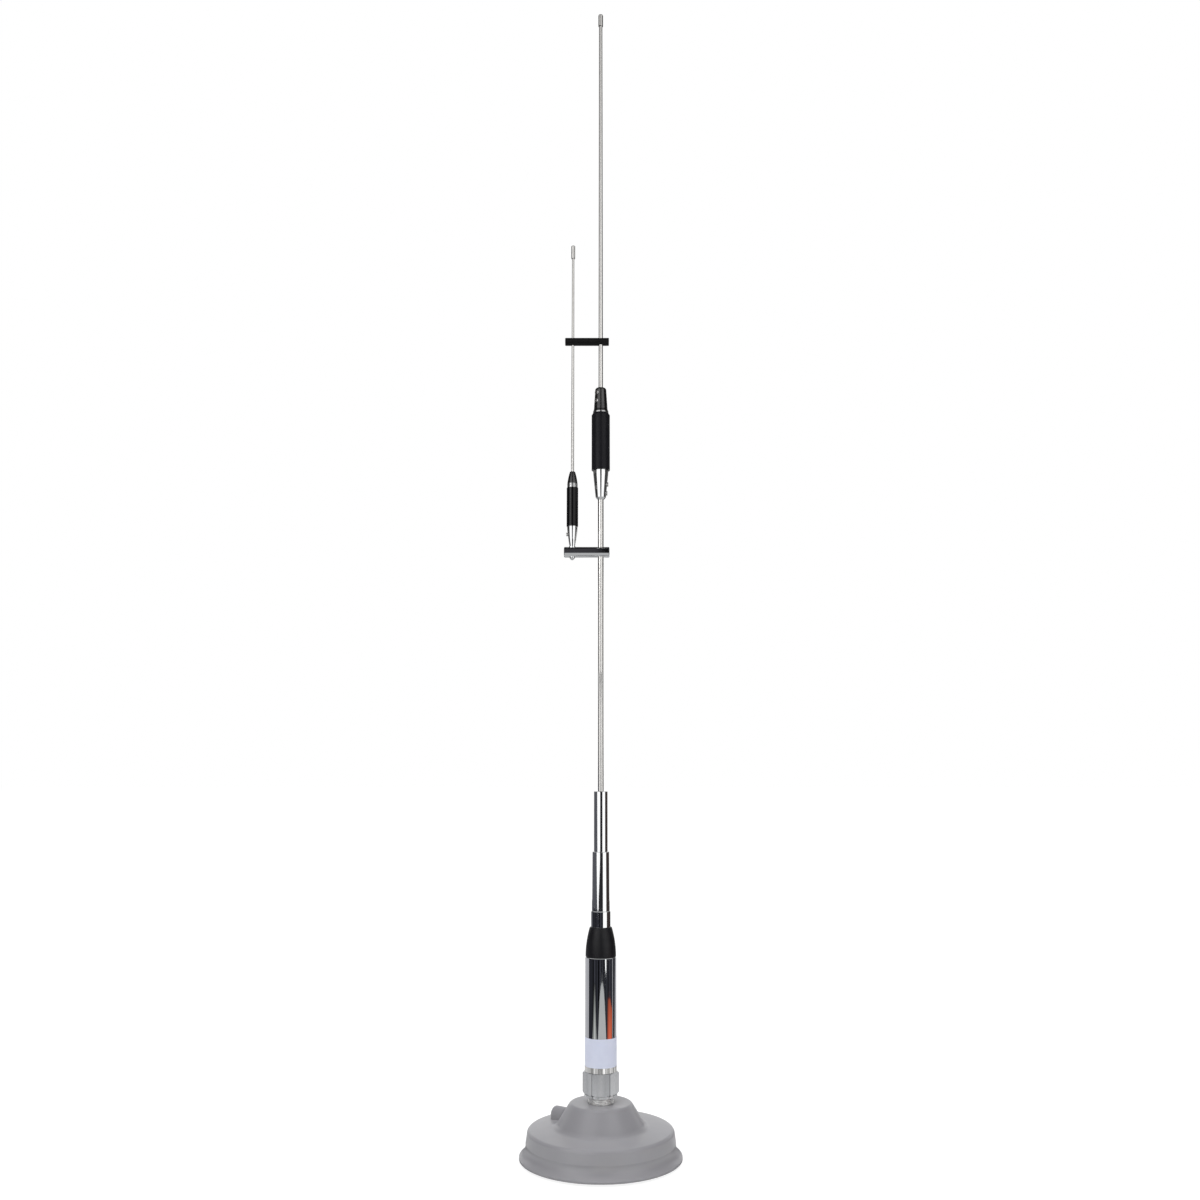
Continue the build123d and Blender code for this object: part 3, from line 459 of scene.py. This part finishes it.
def outside_of(tree, row, turn):
    """How far up a row of the outside lies, and its radius with swell, round edges and thread."""
    rows = given["Rows"]
    share = maths(tree, "DIVIDE", maths(tree, "SUBTRACT", row, 1), maths(tree, "SUBTRACT", rows, 1))
    share = node(tree, "ShaderNodeClamp", {"Value": share}).outputs[0]
    rise = maths(tree, "MULTIPLY", given["Height"], share)
    change = maths(tree, "SUBTRACT", given["Top Radius"], given["Foot Radius"])
    grown = maths(tree, "POWER", share, given["Power"])
    swell = maths(tree, "MULTIPLY_ADD", change, grown, given["Foot Radius"])

    from_end = maths(tree, "MINIMUM", rise, maths(tree, "SUBTRACT", given["Height"], rise))
    edges_away = maths(tree, "DIVIDE", from_end, given["Edge"])
    into_edge = maths(tree, "MAXIMUM", maths(tree, "SUBTRACT", 1, edges_away), 0)
    arc = maths(tree, "SQRT", maths(tree, "SUBTRACT", 1, maths(tree, "MULTIPLY", into_edge, into_edge)))
    rounding = maths(tree, "MULTIPLY", given["Edge"], maths(tree, "SUBTRACT", 1, arc))

    phase = maths(tree, "FRACT", maths(tree, "SUBTRACT", maths(tree, "DIVIDE", rise, given["Pitch"]), turn))
    flank = maths(tree, "ABSOLUTE", maths(tree, "MULTIPLY_ADD", phase, 2, -1))
    flank = node(tree, "ShaderNodeMapRange", {
        "Value": flank, "From Min": thread_root, "From Max": thread_crest}).outputs[0]
    pitches_away = maths(tree, "DIVIDE", from_end, given["Pitch"])
    runout = node(tree, "ShaderNodeClamp", {"Value": pitches_away}).outputs[0]
    groove = maths(tree, "MULTIPLY", maths(tree, "MULTIPLY", given["Groove"], flank), runout)
    return rise, maths(tree, "SUBTRACT", maths(tree, "SUBTRACT", swell, rounding), groove)


print("a thread's flanks take", round(thread_crest - thread_root, 2), "of its pitch")

# %% [markdown]
# ## The bore of a turned piece
# A round bore has one radius. On a hexagonal one the wall is nearest in the middle
# of each flat and grows away towards the corners as one over the cosine of the
# angle from there. The Hexagon input multiplies that angle: at 0 the bore is round.

# %% Bore radius
def bore_of(tree, turn):
    """The radius of the bore at this share of a turn."""
    sixth = maths(tree, "SUBTRACT", maths(tree, "FRACT", maths(tree, "MULTIPLY", turn, 6)), 0.5)
    off_flat = maths(tree, "MULTIPLY", maths(tree, "MULTIPLY", sixth, pi / 3), given["Hexagon"])
    return maths(tree, "DIVIDE", given["Bore"], maths(tree, "COSINE", off_flat))


print("bore of a turned piece ready")

# %% [markdown]
# ## Close the turned piece
# The outside takes most rows of the grid. One row before them and three after them
# lie on the bore: the bottom rim, the top rim and the bore's own floor. On a blind
# bore the first and the last row shrink to the axis, which closes both ends.

# %% Fill the turned tree
def build_turned(tree):
    """Give each row its radius and height, bend the grid round and close the mesh."""
    rows = given["Rows"]
    mesh, turn, along = grid_shares(tree, maths(tree, "ADD", given["Segments"], 1), maths(tree, "ADD", rows, 4))
    row = maths(tree, "ROUND", maths(tree, "MULTIPLY", along, maths(tree, "ADD", rows, 3)))
    top = maths(tree, "ADD", given["Foot"], given["Height"])
    rise, outside = outside_of(tree, row, turn)
    bore = bore_of(tree, turn)

    first = maths(tree, "LESS_THAN", row, 0.5)
    rim = maths(tree, "COMPARE", row, maths(tree, "ADD", rows, 1), 0.5)
    low = maths(tree, "GREATER_THAN", row, maths(tree, "ADD", rows, 1.5))
    last = maths(tree, "GREATER_THAN", row, maths(tree, "ADD", rows, 2.5))
    inside = maths(tree, "ADD", first, maths(tree, "ADD", rim, low))
    to_centre = maths(tree, "MULTIPLY", given["Blind"], maths(tree, "ADD", first, last))
    inner = maths(tree, "MULTIPLY", bore, maths(tree, "SUBTRACT", 1, to_centre))
    radius = maths(tree, "MULTIPLY_ADD", inside, maths(tree, "SUBTRACT", inner, outside), outside)

    outer_height = maths(tree, "ADD", given["Foot"], rise)
    bore_floor = maths(tree, "SUBTRACT", top, given["Bore Depth"])
    height = maths(tree, "MULTIPLY", outer_height, maths(tree, "SUBTRACT", 1, inside))
    for chosen, level in ((first, given["Foot"]), (rim, top), (low, bore_floor)):
        height = maths(tree, "MULTIPLY_ADD", chosen, level, height)

    moved = put_round(tree, mesh, maths(tree, "MULTIPLY", turn, 2 * pi), radius, height)
    joined = node(tree, "GeometryNodeMergeByDistance", {"Geometry": moved, "Distance": merge_distance})
    close_tree(tree, joined.outputs[0], given["Material"])


build_turned(turned_tree)
print("turned tree with", len(turned_tree.nodes), "nodes")

# %% [markdown]
# ## The boot
# The black moulding narrows upwards like an ogive, slowly at first and faster
# towards the top. A power of the height gives that curve with one number, which
# is simpler to tune than points on a spline. It stands for the plain solid.

# %% Boot
boot_top_radius = 0.0069
boot_power = 2.05
boot_edge = 0.0005
boot_bore = 0.00505
boot_low, boot_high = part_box("boot")
boot_height = boot_high[2] - boot_low[2]
boot = shaped("ogive_boot", turned_tree, {
    "Foot": boot_low[2], "Height": boot_height, "Foot Radius": boot_high[0], "Top Radius": boot_top_radius,
    "Power": boot_power, "Edge": boot_edge, "Bore": boot_bore, "Bore Depth": boot_height,
    "Rows": 90, "Segments": 120, "Material": finishes["boot_black"]})
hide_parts("boot")
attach(boot, "base")
print("boot faces:", len(boot.data.polygons))

# %% [markdown]
# ## The socket's thread
# The nut turns on a fine thread, and a little of it shows between the base and
# the nut. The same tree cuts it as a helical groove: the groove's place on the
# wall depends on the height and on the angle together, which is what makes a
# helix and not a row of rings. The round flange under it is a second, plain piece
# of the same tree, and both become one mesh.

# %% Join plain pieces
def as_one(name, pieces):
    """Join several plain pieces into one object with one mesh."""
    for piece in bpy.context.selected_objects:
        piece.select_set(False)
    for piece in pieces:
        piece.select_set(True)
    bpy.context.view_layer.objects.active = pieces[0]
    bpy.ops.object.join()
    pieces[0].name = name
    pieces[0].data.name = name
    return pieces[0]


print("joining ready")

# %% Threaded socket
thread_radius = 0.00794
thread_pitch = 0.0010583
thread_depth = 0.00055
neck_edge = 0.0003
neck_bore = 0.0063
tail_length = 0.004
flange_thickness = 0.0022
flange_edge = 0.0002
flange_bore_play = 0.0004
socket_low, socket_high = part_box("socket_body")
neck_height = socket_high[2] - socket_low[2]
neck = shaped("threaded_neck", turned_tree, {
    "Foot": socket_low[2], "Height": neck_height, "Foot Radius": thread_radius,
    "Top Radius": thread_radius, "Edge": neck_edge, "Pitch": thread_pitch, "Groove": thread_depth,
    "Bore": neck_bore, "Bore Depth": neck_height, "Rows": 200, "Segments": 90,
    "Material": finishes["thread_nickel"]})
flange = shaped("socket_flange", turned_tree, {
    "Foot": socket_low[2] + tail_length, "Height": flange_thickness, "Foot Radius": socket_high[0],
    "Top Radius": socket_high[0], "Edge": flange_edge, "Bore": neck_bore + flange_bore_play,
    "Bore Depth": flange_thickness, "Rows": 12, "Segments": 90, "Material": finishes["nickel"]})
socket = as_one("threaded_socket", [neck, flange])
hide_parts("socket_body")
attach(socket, "base")
print("turns of thread:", round(neck_height / thread_pitch, 1))

# %% [markdown]
# ## The wrap
# A pale film goes once round the foot of the tube and laps over its own start.
# A plain ring would lose that step. The tree bends a strip round the tube a
# little further than a full turn and lifts its end by one thickness just before
# it meets the start. The strip then gets its thickness by extruding its faces. Two
# layers lie where it laps, so each takes a little under half of the solid's wall.

# %% The film's tree
film_lift_share = 1.06
film_tree, film = new_tree("rolled_film", {
    "Foot": ("Float", 0.0), "Height": ("Float", 0.01), "Radius": ("Float", 0.01),
    "Thickness": ("Float", 0.0001), "Seam": ("Float", 0.0), "Lap": ("Float", 0.3),
    "Climb": ("Float", 0.1), "Segments": ("Int", 160), "Material": ("Material", None)})
film_strip, film_turn, film_up = grid_shares(film_tree, film["Segments"], 5)
film_angle = maths(film_tree, "MULTIPLY", film_turn, maths(film_tree, "ADD", film["Lap"], 2 * pi))
film_start = maths(film_tree, "SUBTRACT", 2 * pi, film["Climb"])
film_lift = node(film_tree, "ShaderNodeMapRange", {
    "Value": film_angle, "From Min": film_start, "From Max": 2 * pi, "To Min": 0.0, "To Max": film_lift_share},
    interpolation_type="SMOOTHSTEP").outputs[0]
film_radius = maths(film_tree, "MULTIPLY_ADD", film_lift, film["Thickness"], film["Radius"])
film_height = maths(film_tree, "MULTIPLY_ADD", film_up, film["Height"], film["Foot"])
film_turned = maths(film_tree, "ADD", film_angle, film["Seam"])
film_bent = put_round(film_tree, film_strip, film_turned, film_radius, film_height)
film_outer = node(film_tree, "GeometryNodeExtrudeMesh", {
    "Mesh": film_bent, "Offset Scale": film["Thickness"], "Individual": False}, mode="FACES").outputs["Mesh"]
film_inner = node(film_tree, "GeometryNodeFlipFaces", {"Mesh": film_bent}).outputs[0]
film_both = node(film_tree, "GeometryNodeJoinGeometry")
film_tree.links.new(film_outer, film_both.inputs[0])
film_tree.links.new(film_inner, film_both.inputs[0])
film_closed = node(film_tree, "GeometryNodeMergeByDistance", {
    "Geometry": film_both.outputs[0], "Distance": merge_distance})
close_tree(film_tree, film_closed.outputs[0], film["Material"])
print("film tree with", len(film_tree.nodes), "nodes")

# %% Rolled wrap
film_gap = 0.00002
film_share = 0.48
film_seam, film_lap, film_climb = radians(60), radians(25), radians(5)
wrap_low, wrap_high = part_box("label_sleeve")
tube_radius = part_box("base_tube")[1][0]
film_room = wrap_high[0] - tube_radius - film_gap
wrap = shaped("rolled_wrap", film_tree, {
    "Foot": wrap_low[2], "Height": wrap_high[2] - wrap_low[2], "Radius": tube_radius + film_gap,
    "Thickness": film_room * film_share, "Seam": film_seam, "Lap": film_lap, "Climb": film_climb,
    "Material": finishes["wrap_film"]})
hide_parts("label_sleeve")
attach(wrap, "base")
print("film faces:", len(wrap.data.polygons))

# %% [markdown]
# ## Grub screws
# Six small headless screws hold the coils and the bar. The turned tree makes one
# screw of each size with a real thread and a hexagon key hole. A second tree puts
# it on points, each with the direction it faces. The points are read from the
# solids, so the screws stay where the frame has them: a corner of a solid belongs
# to a screw when it lies within about one radius of the screw's height.

# %% A tree that puts screws on points
placing_tree, placing = new_tree("screws_on_points", {
    "Points": ("Geometry", None), "Screw": ("Object", None), "Material": ("Material", None)})
facing = node(placing_tree, "GeometryNodeInputNamedAttribute", {"Name": "azimuth"}, data_type="FLOAT")
euler = node(placing_tree, "ShaderNodeCombineXYZ", {"X": 0.0, "Y": pi / 2, "Z": facing.outputs[0]})
turned_to = node(placing_tree, "FunctionNodeEulerToRotation", {"Euler": euler.outputs[0]})
screw_shape = node(placing_tree, "GeometryNodeObjectInfo", {"Object": placing["Screw"]})
placed = node(placing_tree, "GeometryNodeInstanceOnPoints", {
    "Points": placing["Points"], "Instance": screw_shape.outputs["Geometry"], "Rotation": turned_to.outputs[0]})
close_tree(placing_tree, placed.outputs[0], placing["Material"])
print("placing tree with", len(placing_tree.nodes), "nodes")

# %% Grub screws of one part
screw_pitch = 0.0005
screw_groove = 0.00022
screw_edge = 0.00018
key_depth = 0.0013
same_screw = 1.05
grub_radii = {"main_lower_grub_screws": 0.0015, "main_upper_grub_screws": 0.0015,
              "clamp_screw": 0.0015, "side_grub_screw": 0.00125}


def grub_screws(part, azimuth, key):
    """The screws of one CAD part, which all face one way: real thread, key hole, at the same places."""
    low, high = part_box(part)
    side = (cos(azimuth), sin(azimuth))
    spots = [vertex.co for vertex in nodes[part].data.vertices]
    reaches = [(spot.x * side[0] + spot.y * side[1], spot.z) for spot in spots]
    radius = grub_radii[part]
    if high[2] - low[2] > 3 * radius:
        heights = [low[2] + radius, high[2] - radius]
    else:
        heights = [(low[2] + high[2]) / 2]
    spans = []
    for height in heights:
        near = [reach for reach, level in reaches if abs(level - height) < radius * same_screw]
        spans.append((min(near), max(near)))
    length = min(outer - inner for inner, outer in spans)
    screw = shaped(part + "_screw", turned_tree, {
        "Foot": -length, "Height": length, "Foot Radius": radius, "Top Radius": radius, "Edge": screw_edge,
        "Pitch": screw_pitch, "Groove": screw_groove, "Bore": key / 2, "Bore Depth": key_depth, "Hexagon": 1.0,
        "Blind": 1.0, "Rows": 48, "Segments": 48, "Material": finishes["screw_steel"]})
    points = bpy.data.meshes.new(part + "_points")
    points.from_pydata([(side[0] * outer, side[1] * outer, height)
                        for (inner, outer), height in zip(spans, heights)], [], [])
    points.attributes.new("azimuth", "FLOAT", "POINT").data.foreach_set("value", [azimuth] * len(heights))
    group = shaped(part + "_group", placing_tree, {"Screw": screw, "Material": finishes["screw_steel"]}, points)
    bpy.data.objects.remove(screw)
    print(part, len(heights), "screws of", round(length * 1000, 2), "mm")
    return group


print("screws of", len(grub_radii), "parts")

# %% Put the screws in
large_key, small_key = 0.0015, 0.0013
upper_screws_azimuth = radians(226)
main_screws = as_one("main_coil_screws", [
    grub_screws("main_lower_grub_screws", 0.0, large_key),
    grub_screws("main_upper_grub_screws", upper_screws_azimuth, large_key)])
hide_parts("main_lower_grub_screws", "main_upper_grub_screws")
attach(main_screws, "main_coil")
side_screws = as_one("side_arm_screws", [
    grub_screws("clamp_screw", 0.0, large_key),
    grub_screws("side_grub_screw", pi, small_key)])
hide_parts("clamp_screw", "side_grub_screw")
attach(side_screws, "side_arm")
print("screw faces:", len(main_screws.data.polygons) + len(side_screws.data.polygons))

# %% [markdown]
# ## Floor and daylight
# The picture has a plain white ground. The floor is white to the camera and in
# reflections, and darkens only where the object shades it. The world is white to
# the camera too, while it lights the object more gently.

# %% Floor and world
floor_size = 30.0
shade_kept = 0.3
floor_glow = 1.26
world_light = 0.55


def seen_directly(tree):
    """1 for camera, mirror and glass rays, 0 for rays that only carry light."""
    rays = node(tree, "ShaderNodeLightPath")
    first = node(tree, "ShaderNodeMath", {0: rays.outputs["Is Camera Ray"], 1: rays.outputs["Is Glossy Ray"]},
                 operation="MAXIMUM")
    return node(tree, "ShaderNodeMath", {0: first.outputs[0], 1: rays.outputs["Is Transmission Ray"]},
                operation="MAXIMUM").outputs[0]


floor_mesh = bpy.data.meshes.new("floor")
half = floor_size / 2
corners = [(-half, -half, 0), (half, -half, 0), (half, half, 0), (-half, half, 0)]
floor_mesh.from_pydata(corners, [], [(0, 1, 2, 3)])
floor = bpy.data.objects.new("floor", floor_mesh)
bpy.context.scene.collection.objects.link(floor)
floor_material = bpy.data.materials.new("white_floor")
floor_material.use_nodes = True
floor_tree = floor_material.node_tree
floor_tree.nodes.clear()
paper = node(floor_tree, "ShaderNodeBsdfDiffuse", {"Color": grey(0.8)})
white = node(floor_tree, "ShaderNodeEmission", {"Color": grey(1.0), "Strength": floor_glow})
amount = node(floor_tree, "ShaderNodeMath", {0: seen_directly(floor_tree), 1: 1.0 - shade_kept},
              operation="MULTIPLY")
floor_mix = node(floor_tree, "ShaderNodeMixShader", {
    0: amount.outputs[0], 1: paper.outputs[0], 2: white.outputs[0]})
node(floor_tree, "ShaderNodeOutputMaterial", {"Surface": floor_mix.outputs[0]})
floor.data.materials.append(floor_material)

world = bpy.data.worlds.new("world")
world.use_nodes = True
bpy.context.scene.world = world
world_tree = world.node_tree
strength = node(world_tree, "ShaderNodeMapRange", {
    "Value": seen_directly(world_tree), "To Min": world_light, "To Max": 1.0})
world_tree.links.new(strength.outputs[0], world_tree.nodes["Background"].inputs["Strength"])
world_tree.nodes["Background"].inputs["Color"].default_value = grey(1.0)
print("floor", floor_size, "m wide, world light", world_light)

# %% [markdown]
# ## Lamps
# Two large soft lamps stand in front, one high on the left and one lower on the
# right, and a third hangs above so that the flat tops are the lightest. They only
# shape the matt parts: the mirror-like parts are lit by what they reflect, which
# comes next.

# %% Lamps
lamp_aim_height = 0.25


def lamp(name, place, size, power):
    """A square lamp that looks at the middle of the antenna and stays out of reflections."""
    light = bpy.data.lights.new(name, "AREA")
    light.size = size
    light.energy = power
    holder = bpy.data.objects.new(name, light)
    holder.location = place
    aim = Vector((-place[0], -place[1], lamp_aim_height - place[2]))
    holder.rotation_euler = aim.to_track_quat("-Z", "Y").to_euler()
    holder.visible_glossy = False
    bpy.context.scene.collection.objects.link(holder)


lamp("key_lamp", (-0.7, -0.6, 1.9), 0.9, 10.5)
lamp("fill_lamp", (1.3, -1.0, 0.9), 1.0, 3.0)
lamp("top_lamp", (0.05, 0.1, 2.0), 0.8, 11.0)
print("three lamps")

# %% [markdown]
# ## What the chrome sees
# Chrome in a plain white room looks like plain white plastic. A photographer sets
# up dark and light cards round it, out of the picture, and the metal shows them
# as clean upright stripes. The cards here are strips of a wide ring. They are
# hidden from the camera and cast no light or shadow, so only mirror rays meet
# them. An azimuth of 0 is the camera's side and it grows to the right. Low down the
# dark cards are as wide as the chrome tube needs, and above a waist they are as
# wide as the sleeves and rods need.

# %% Card helpers
ring = 1.5
card_steps = 24


def card_colour(name, level, tint=(1.0, 1.0, 1.0), streaks=0.0, fade=None):
    """A card with its own glow, with upright streaks, and dimmer between two distances if asked."""
    material = bpy.data.materials.new(name)
    material.use_nodes = True
    tree = material.node_tree
    tree.nodes.clear()
    place = node(tree, "ShaderNodeTexCoord").outputs["Object"]
    strength = level
    if streaks:
        side = node(tree, "ShaderNodeSeparateXYZ", {0: place})
        angle = node(tree, "ShaderNodeMath", {0: side.outputs["X"], 1: side.outputs["Y"]}, operation="ARCTAN2")
        noise = node(tree, "ShaderNodeTexNoise", {"W": angle.outputs[0], "Scale": 4.0, "Detail": 1.0},
                     noise_dimensions="1D").outputs["Fac"]
        strength = between(tree, noise, level * (1.0 - streaks), level * (1.0 + 2.0 * streaks), 0.35, 0.75)
    if fade:
        reach = node(tree, "ShaderNodeVectorMath", {0: place}, operation="LENGTH").outputs["Value"]
        left = node(tree, "ShaderNodeMapRange", {
            "Value": reach, "From Min": fade[0], "From Max": fade[1], "To Min": 1.0, "To Max": fade[2]})
        dimmed = node(tree, "ShaderNodeMath", {0: left.outputs[0], 1: strength}, operation="MULTIPLY")
        strength = dimmed.outputs[0]
    glow = node(tree, "ShaderNodeEmission", {"Color": grey(1.0, tint), "Strength": strength})
    node(tree, "ShaderNodeOutputMaterial", {"Surface": glow.outputs[0]})
    return material


def card(name, rows, material):
    """A card of rows (distance, height, first azimuth, last azimuth) that only mirror rays can see."""
    points = []
    for distance, height, start, end in rows:
        for step in range(card_steps + 1):
            angle = radians(start + (end - start) * step / card_steps)
            points.append((distance * sin(angle), -distance * cos(angle), height))
    wide = card_steps + 1
    faces = [(row * wide + step, row * wide + step + 1, (row + 1) * wide + step + 1, (row + 1) * wide + step)
             for row in range(len(rows) - 1) for step in range(card_steps)]
    mesh = bpy.data.meshes.new(name)
    mesh.from_pydata(points, [], faces)
    mesh.materials.append(material)
    made = bpy.data.objects.new(name, mesh)
    made.visible_camera = False
    made.visible_diffuse = False
    made.visible_shadow = False
    made.visible_transmission = False
    bpy.context.scene.collection.objects.link(made)


print("card ring", ring, "m out")

# %% Colours of the cards
black = card_colour("black_card", 0.022, (1.0, 0.97, 1.1), 0.7)
blue_cloth = card_colour("cloth_card", 0.026, (0.92, 0.95, 1.2), 0.9)
dark = card_colour("dark_card", 0.07, (1.0, 0.97, 0.97), 0.4)
slate = card_colour("slate_card", 0.12, (0.93, 0.95, 1.08), 0.25)
brown = card_colour("brown_card", 0.045, (1.2, 0.92, 0.88), 0.5)
lilac = card_colour("lilac_card", 0.5, (0.97, 0.97, 1.03), 0.2)
table_top = card_colour("table_card", 0.55, (0.98, 0.99, 1.0))
near_top = card_colour("near_table_card", 0.6, (1.0, 1.0, 1.0), 0.5)
fold = card_colour("fold_card", 0.5, (0.97, 1.0, 0.97), 0.4, (0.30, 0.62, 0.04))
warm = card_colour("warm_card", 0.72, (1.0, 0.21, 0.11), 0.3, (0.32, 0.7, 0.04))
light = card_colour("light_card", 1.4)
upper_light = card_colour("upper_light_card", 1.5, fade=(1.85, 2.5, 0.55))
window = card_colour("window_card", 5.5)
pale = card_colour("pale_card", 0.13)
middle = card_colour("middle_card", 0.34)
print("brightest card:", window.name)

# %% Cards round the antenna
ceiling = 2.6
low_edge = -0.3
waist = 0.25
light_top = 0.85
window_low, window_high = 0.64, 0.80
wide_dark = 66
dark_end = 152
rim = 125
rim_foot = 0.6
light_ring = ring + 0.06
window_ring = ring + 0.03
light_start, light_end = 5, 82
step_low, step_high = 0.023, 0.087

for side, first, last in (("left", -light_end, -light_start), ("right", light_start, light_end)):
    card(side + "_light", [(light_ring, low_edge, first, last), (light_ring, light_top, first, last)], light)
    card(side + "_upper_light", [(light_ring, light_top, first, last), (light_ring, ceiling, first, last)],
         upper_light)
card("window", [(window_ring, window_low, -50, -37), (window_ring, window_high, -50, -37)], window)
card("low_front", [(ring, 0.0, -28, 28), (ring, step_low, -28, 28), (ring, step_high, -11, 28),
                   (ring, waist, -10, 28)], black)
card("low_left", [(ring, 0.0, -dark_end, -46), (ring, step_low, -dark_end, -50),
                  (ring, step_high, -dark_end, -57), (ring, waist, -dark_end, -63)], slate)
card("low_right", [(ring, 0.0, 76, dark_end), (ring, waist, 76, dark_end)], brown)
card("front", [(ring, waist, -10, 14), (ring, ceiling, -10, 14)], black)
card("left", [(ring, waist, -rim, -wide_dark), (ring, ceiling, -rim, -wide_dark)], dark)
card("right", [(ring, waist, wide_dark, rim), (ring, ceiling, wide_dark, rim)], dark)
card("left_rim", [(ring, rim_foot, -180, -rim), (ring, ceiling, -180, -rim)], pale)
card("right_rim", [(ring, rim_foot, rim, 180), (ring, ceiling, rim, 180)], pale)
card("ceiling", [(0.0, ceiling, -180, 180), (ring * 1.1, ceiling, -180, 180)], black)
print("cards change their widths", waist, "m up")

# %% [markdown]
# ## What the tube and the collar see
# The low chrome parts look down at the table. A pale table top with a rounded
# front ends about 0.6 m away and a dark cloth lies beyond it, which makes the
# arch in the middle of the tube. A warm board beside the table gives the orange
# streak, and a light strip far out on the right gives the white one. Close to the
# base the table is pale all round, and four small cards lie on it, which the plug
# and the foot of the tube show as short stripes. A pale tray, well above the base,
# is what the undersides of the upper parts see.

# %% Cards on the table
cloth_lift = 0.001
table_lift = 0.002
strip_lift = 0.003
inner_edge = 0.295
arch_end = 0.62
far_edge = 0.95
near_start, near_end = 0.2, 0.289
tray_height = 0.3
tray_radius = 0.205

card("cloth", [(0.04, cloth_lift, -180, 180), (ring, cloth_lift, -180, 180)], blue_cloth)
card("table", [(inner_edge, table_lift, -22, 42), (0.34, table_lift, -20, 40), (0.42, table_lift, -15, 34),
               (0.50, table_lift, -11, 29), (0.57, table_lift, -5, 23), (arch_end, table_lift, 3, 16)], table_top)
card("near_table", [(0.06, table_lift, -180, 180), (0.29, table_lift, -180, 180)], near_top)
card("cloth_fold", [(inner_edge, table_lift, -68, -24), (0.38, table_lift, -60, -34),
                    (arch_end, table_lift, -50, -42)], fold)
card("table_left", [(inner_edge, table_lift, -180, -98), (far_edge, table_lift, -180, -98)], lilac)
card("table_behind", [(inner_edge, table_lift, 119, 180), (arch_end, table_lift, 128, 180),
                      (far_edge, table_lift, 137, 180)], lilac)
card("right_seam", [(inner_edge, table_lift, 95, 101), (0.9, table_lift, 95, 101)], lilac)
card("far_left", [(far_edge, table_lift, -180, -115), (ring, table_lift, -180, -115)], slate)
card("far_right", [(far_edge, table_lift, 76, 137), (ring, table_lift, 76, 137)], brown)
card("warm_board", [(inner_edge, strip_lift, 50, 84), (0.46, strip_lift, 52, 92), (0.52, strip_lift, 54, 74)], warm)
card("light_strip", [(0.69, strip_lift, 33, 41), (0.9, strip_lift, 31, 41), (1.05, strip_lift, 28, 76),
                     (ring, strip_lift, 28, 76)], light)
card("tray", [(0.02, tray_height, -180, 180), (tray_radius, tray_height, -180, 180)], table_top)
card("near_left", [(near_start, strip_lift, -76, -56), (near_end, strip_lift, -76, -56)], middle)
card("near_front", [(near_start, strip_lift, -11, 13), (near_end, strip_lift, -11, 13)], middle)
card("near_light", [(near_start, strip_lift, 16, 30), (near_end, strip_lift, 16, 30)], light)
card("near_right", [(near_start, strip_lift, 48, 60), (near_end, strip_lift, 48, 60)], fold)
print("the table ends", arch_end, "m in front")
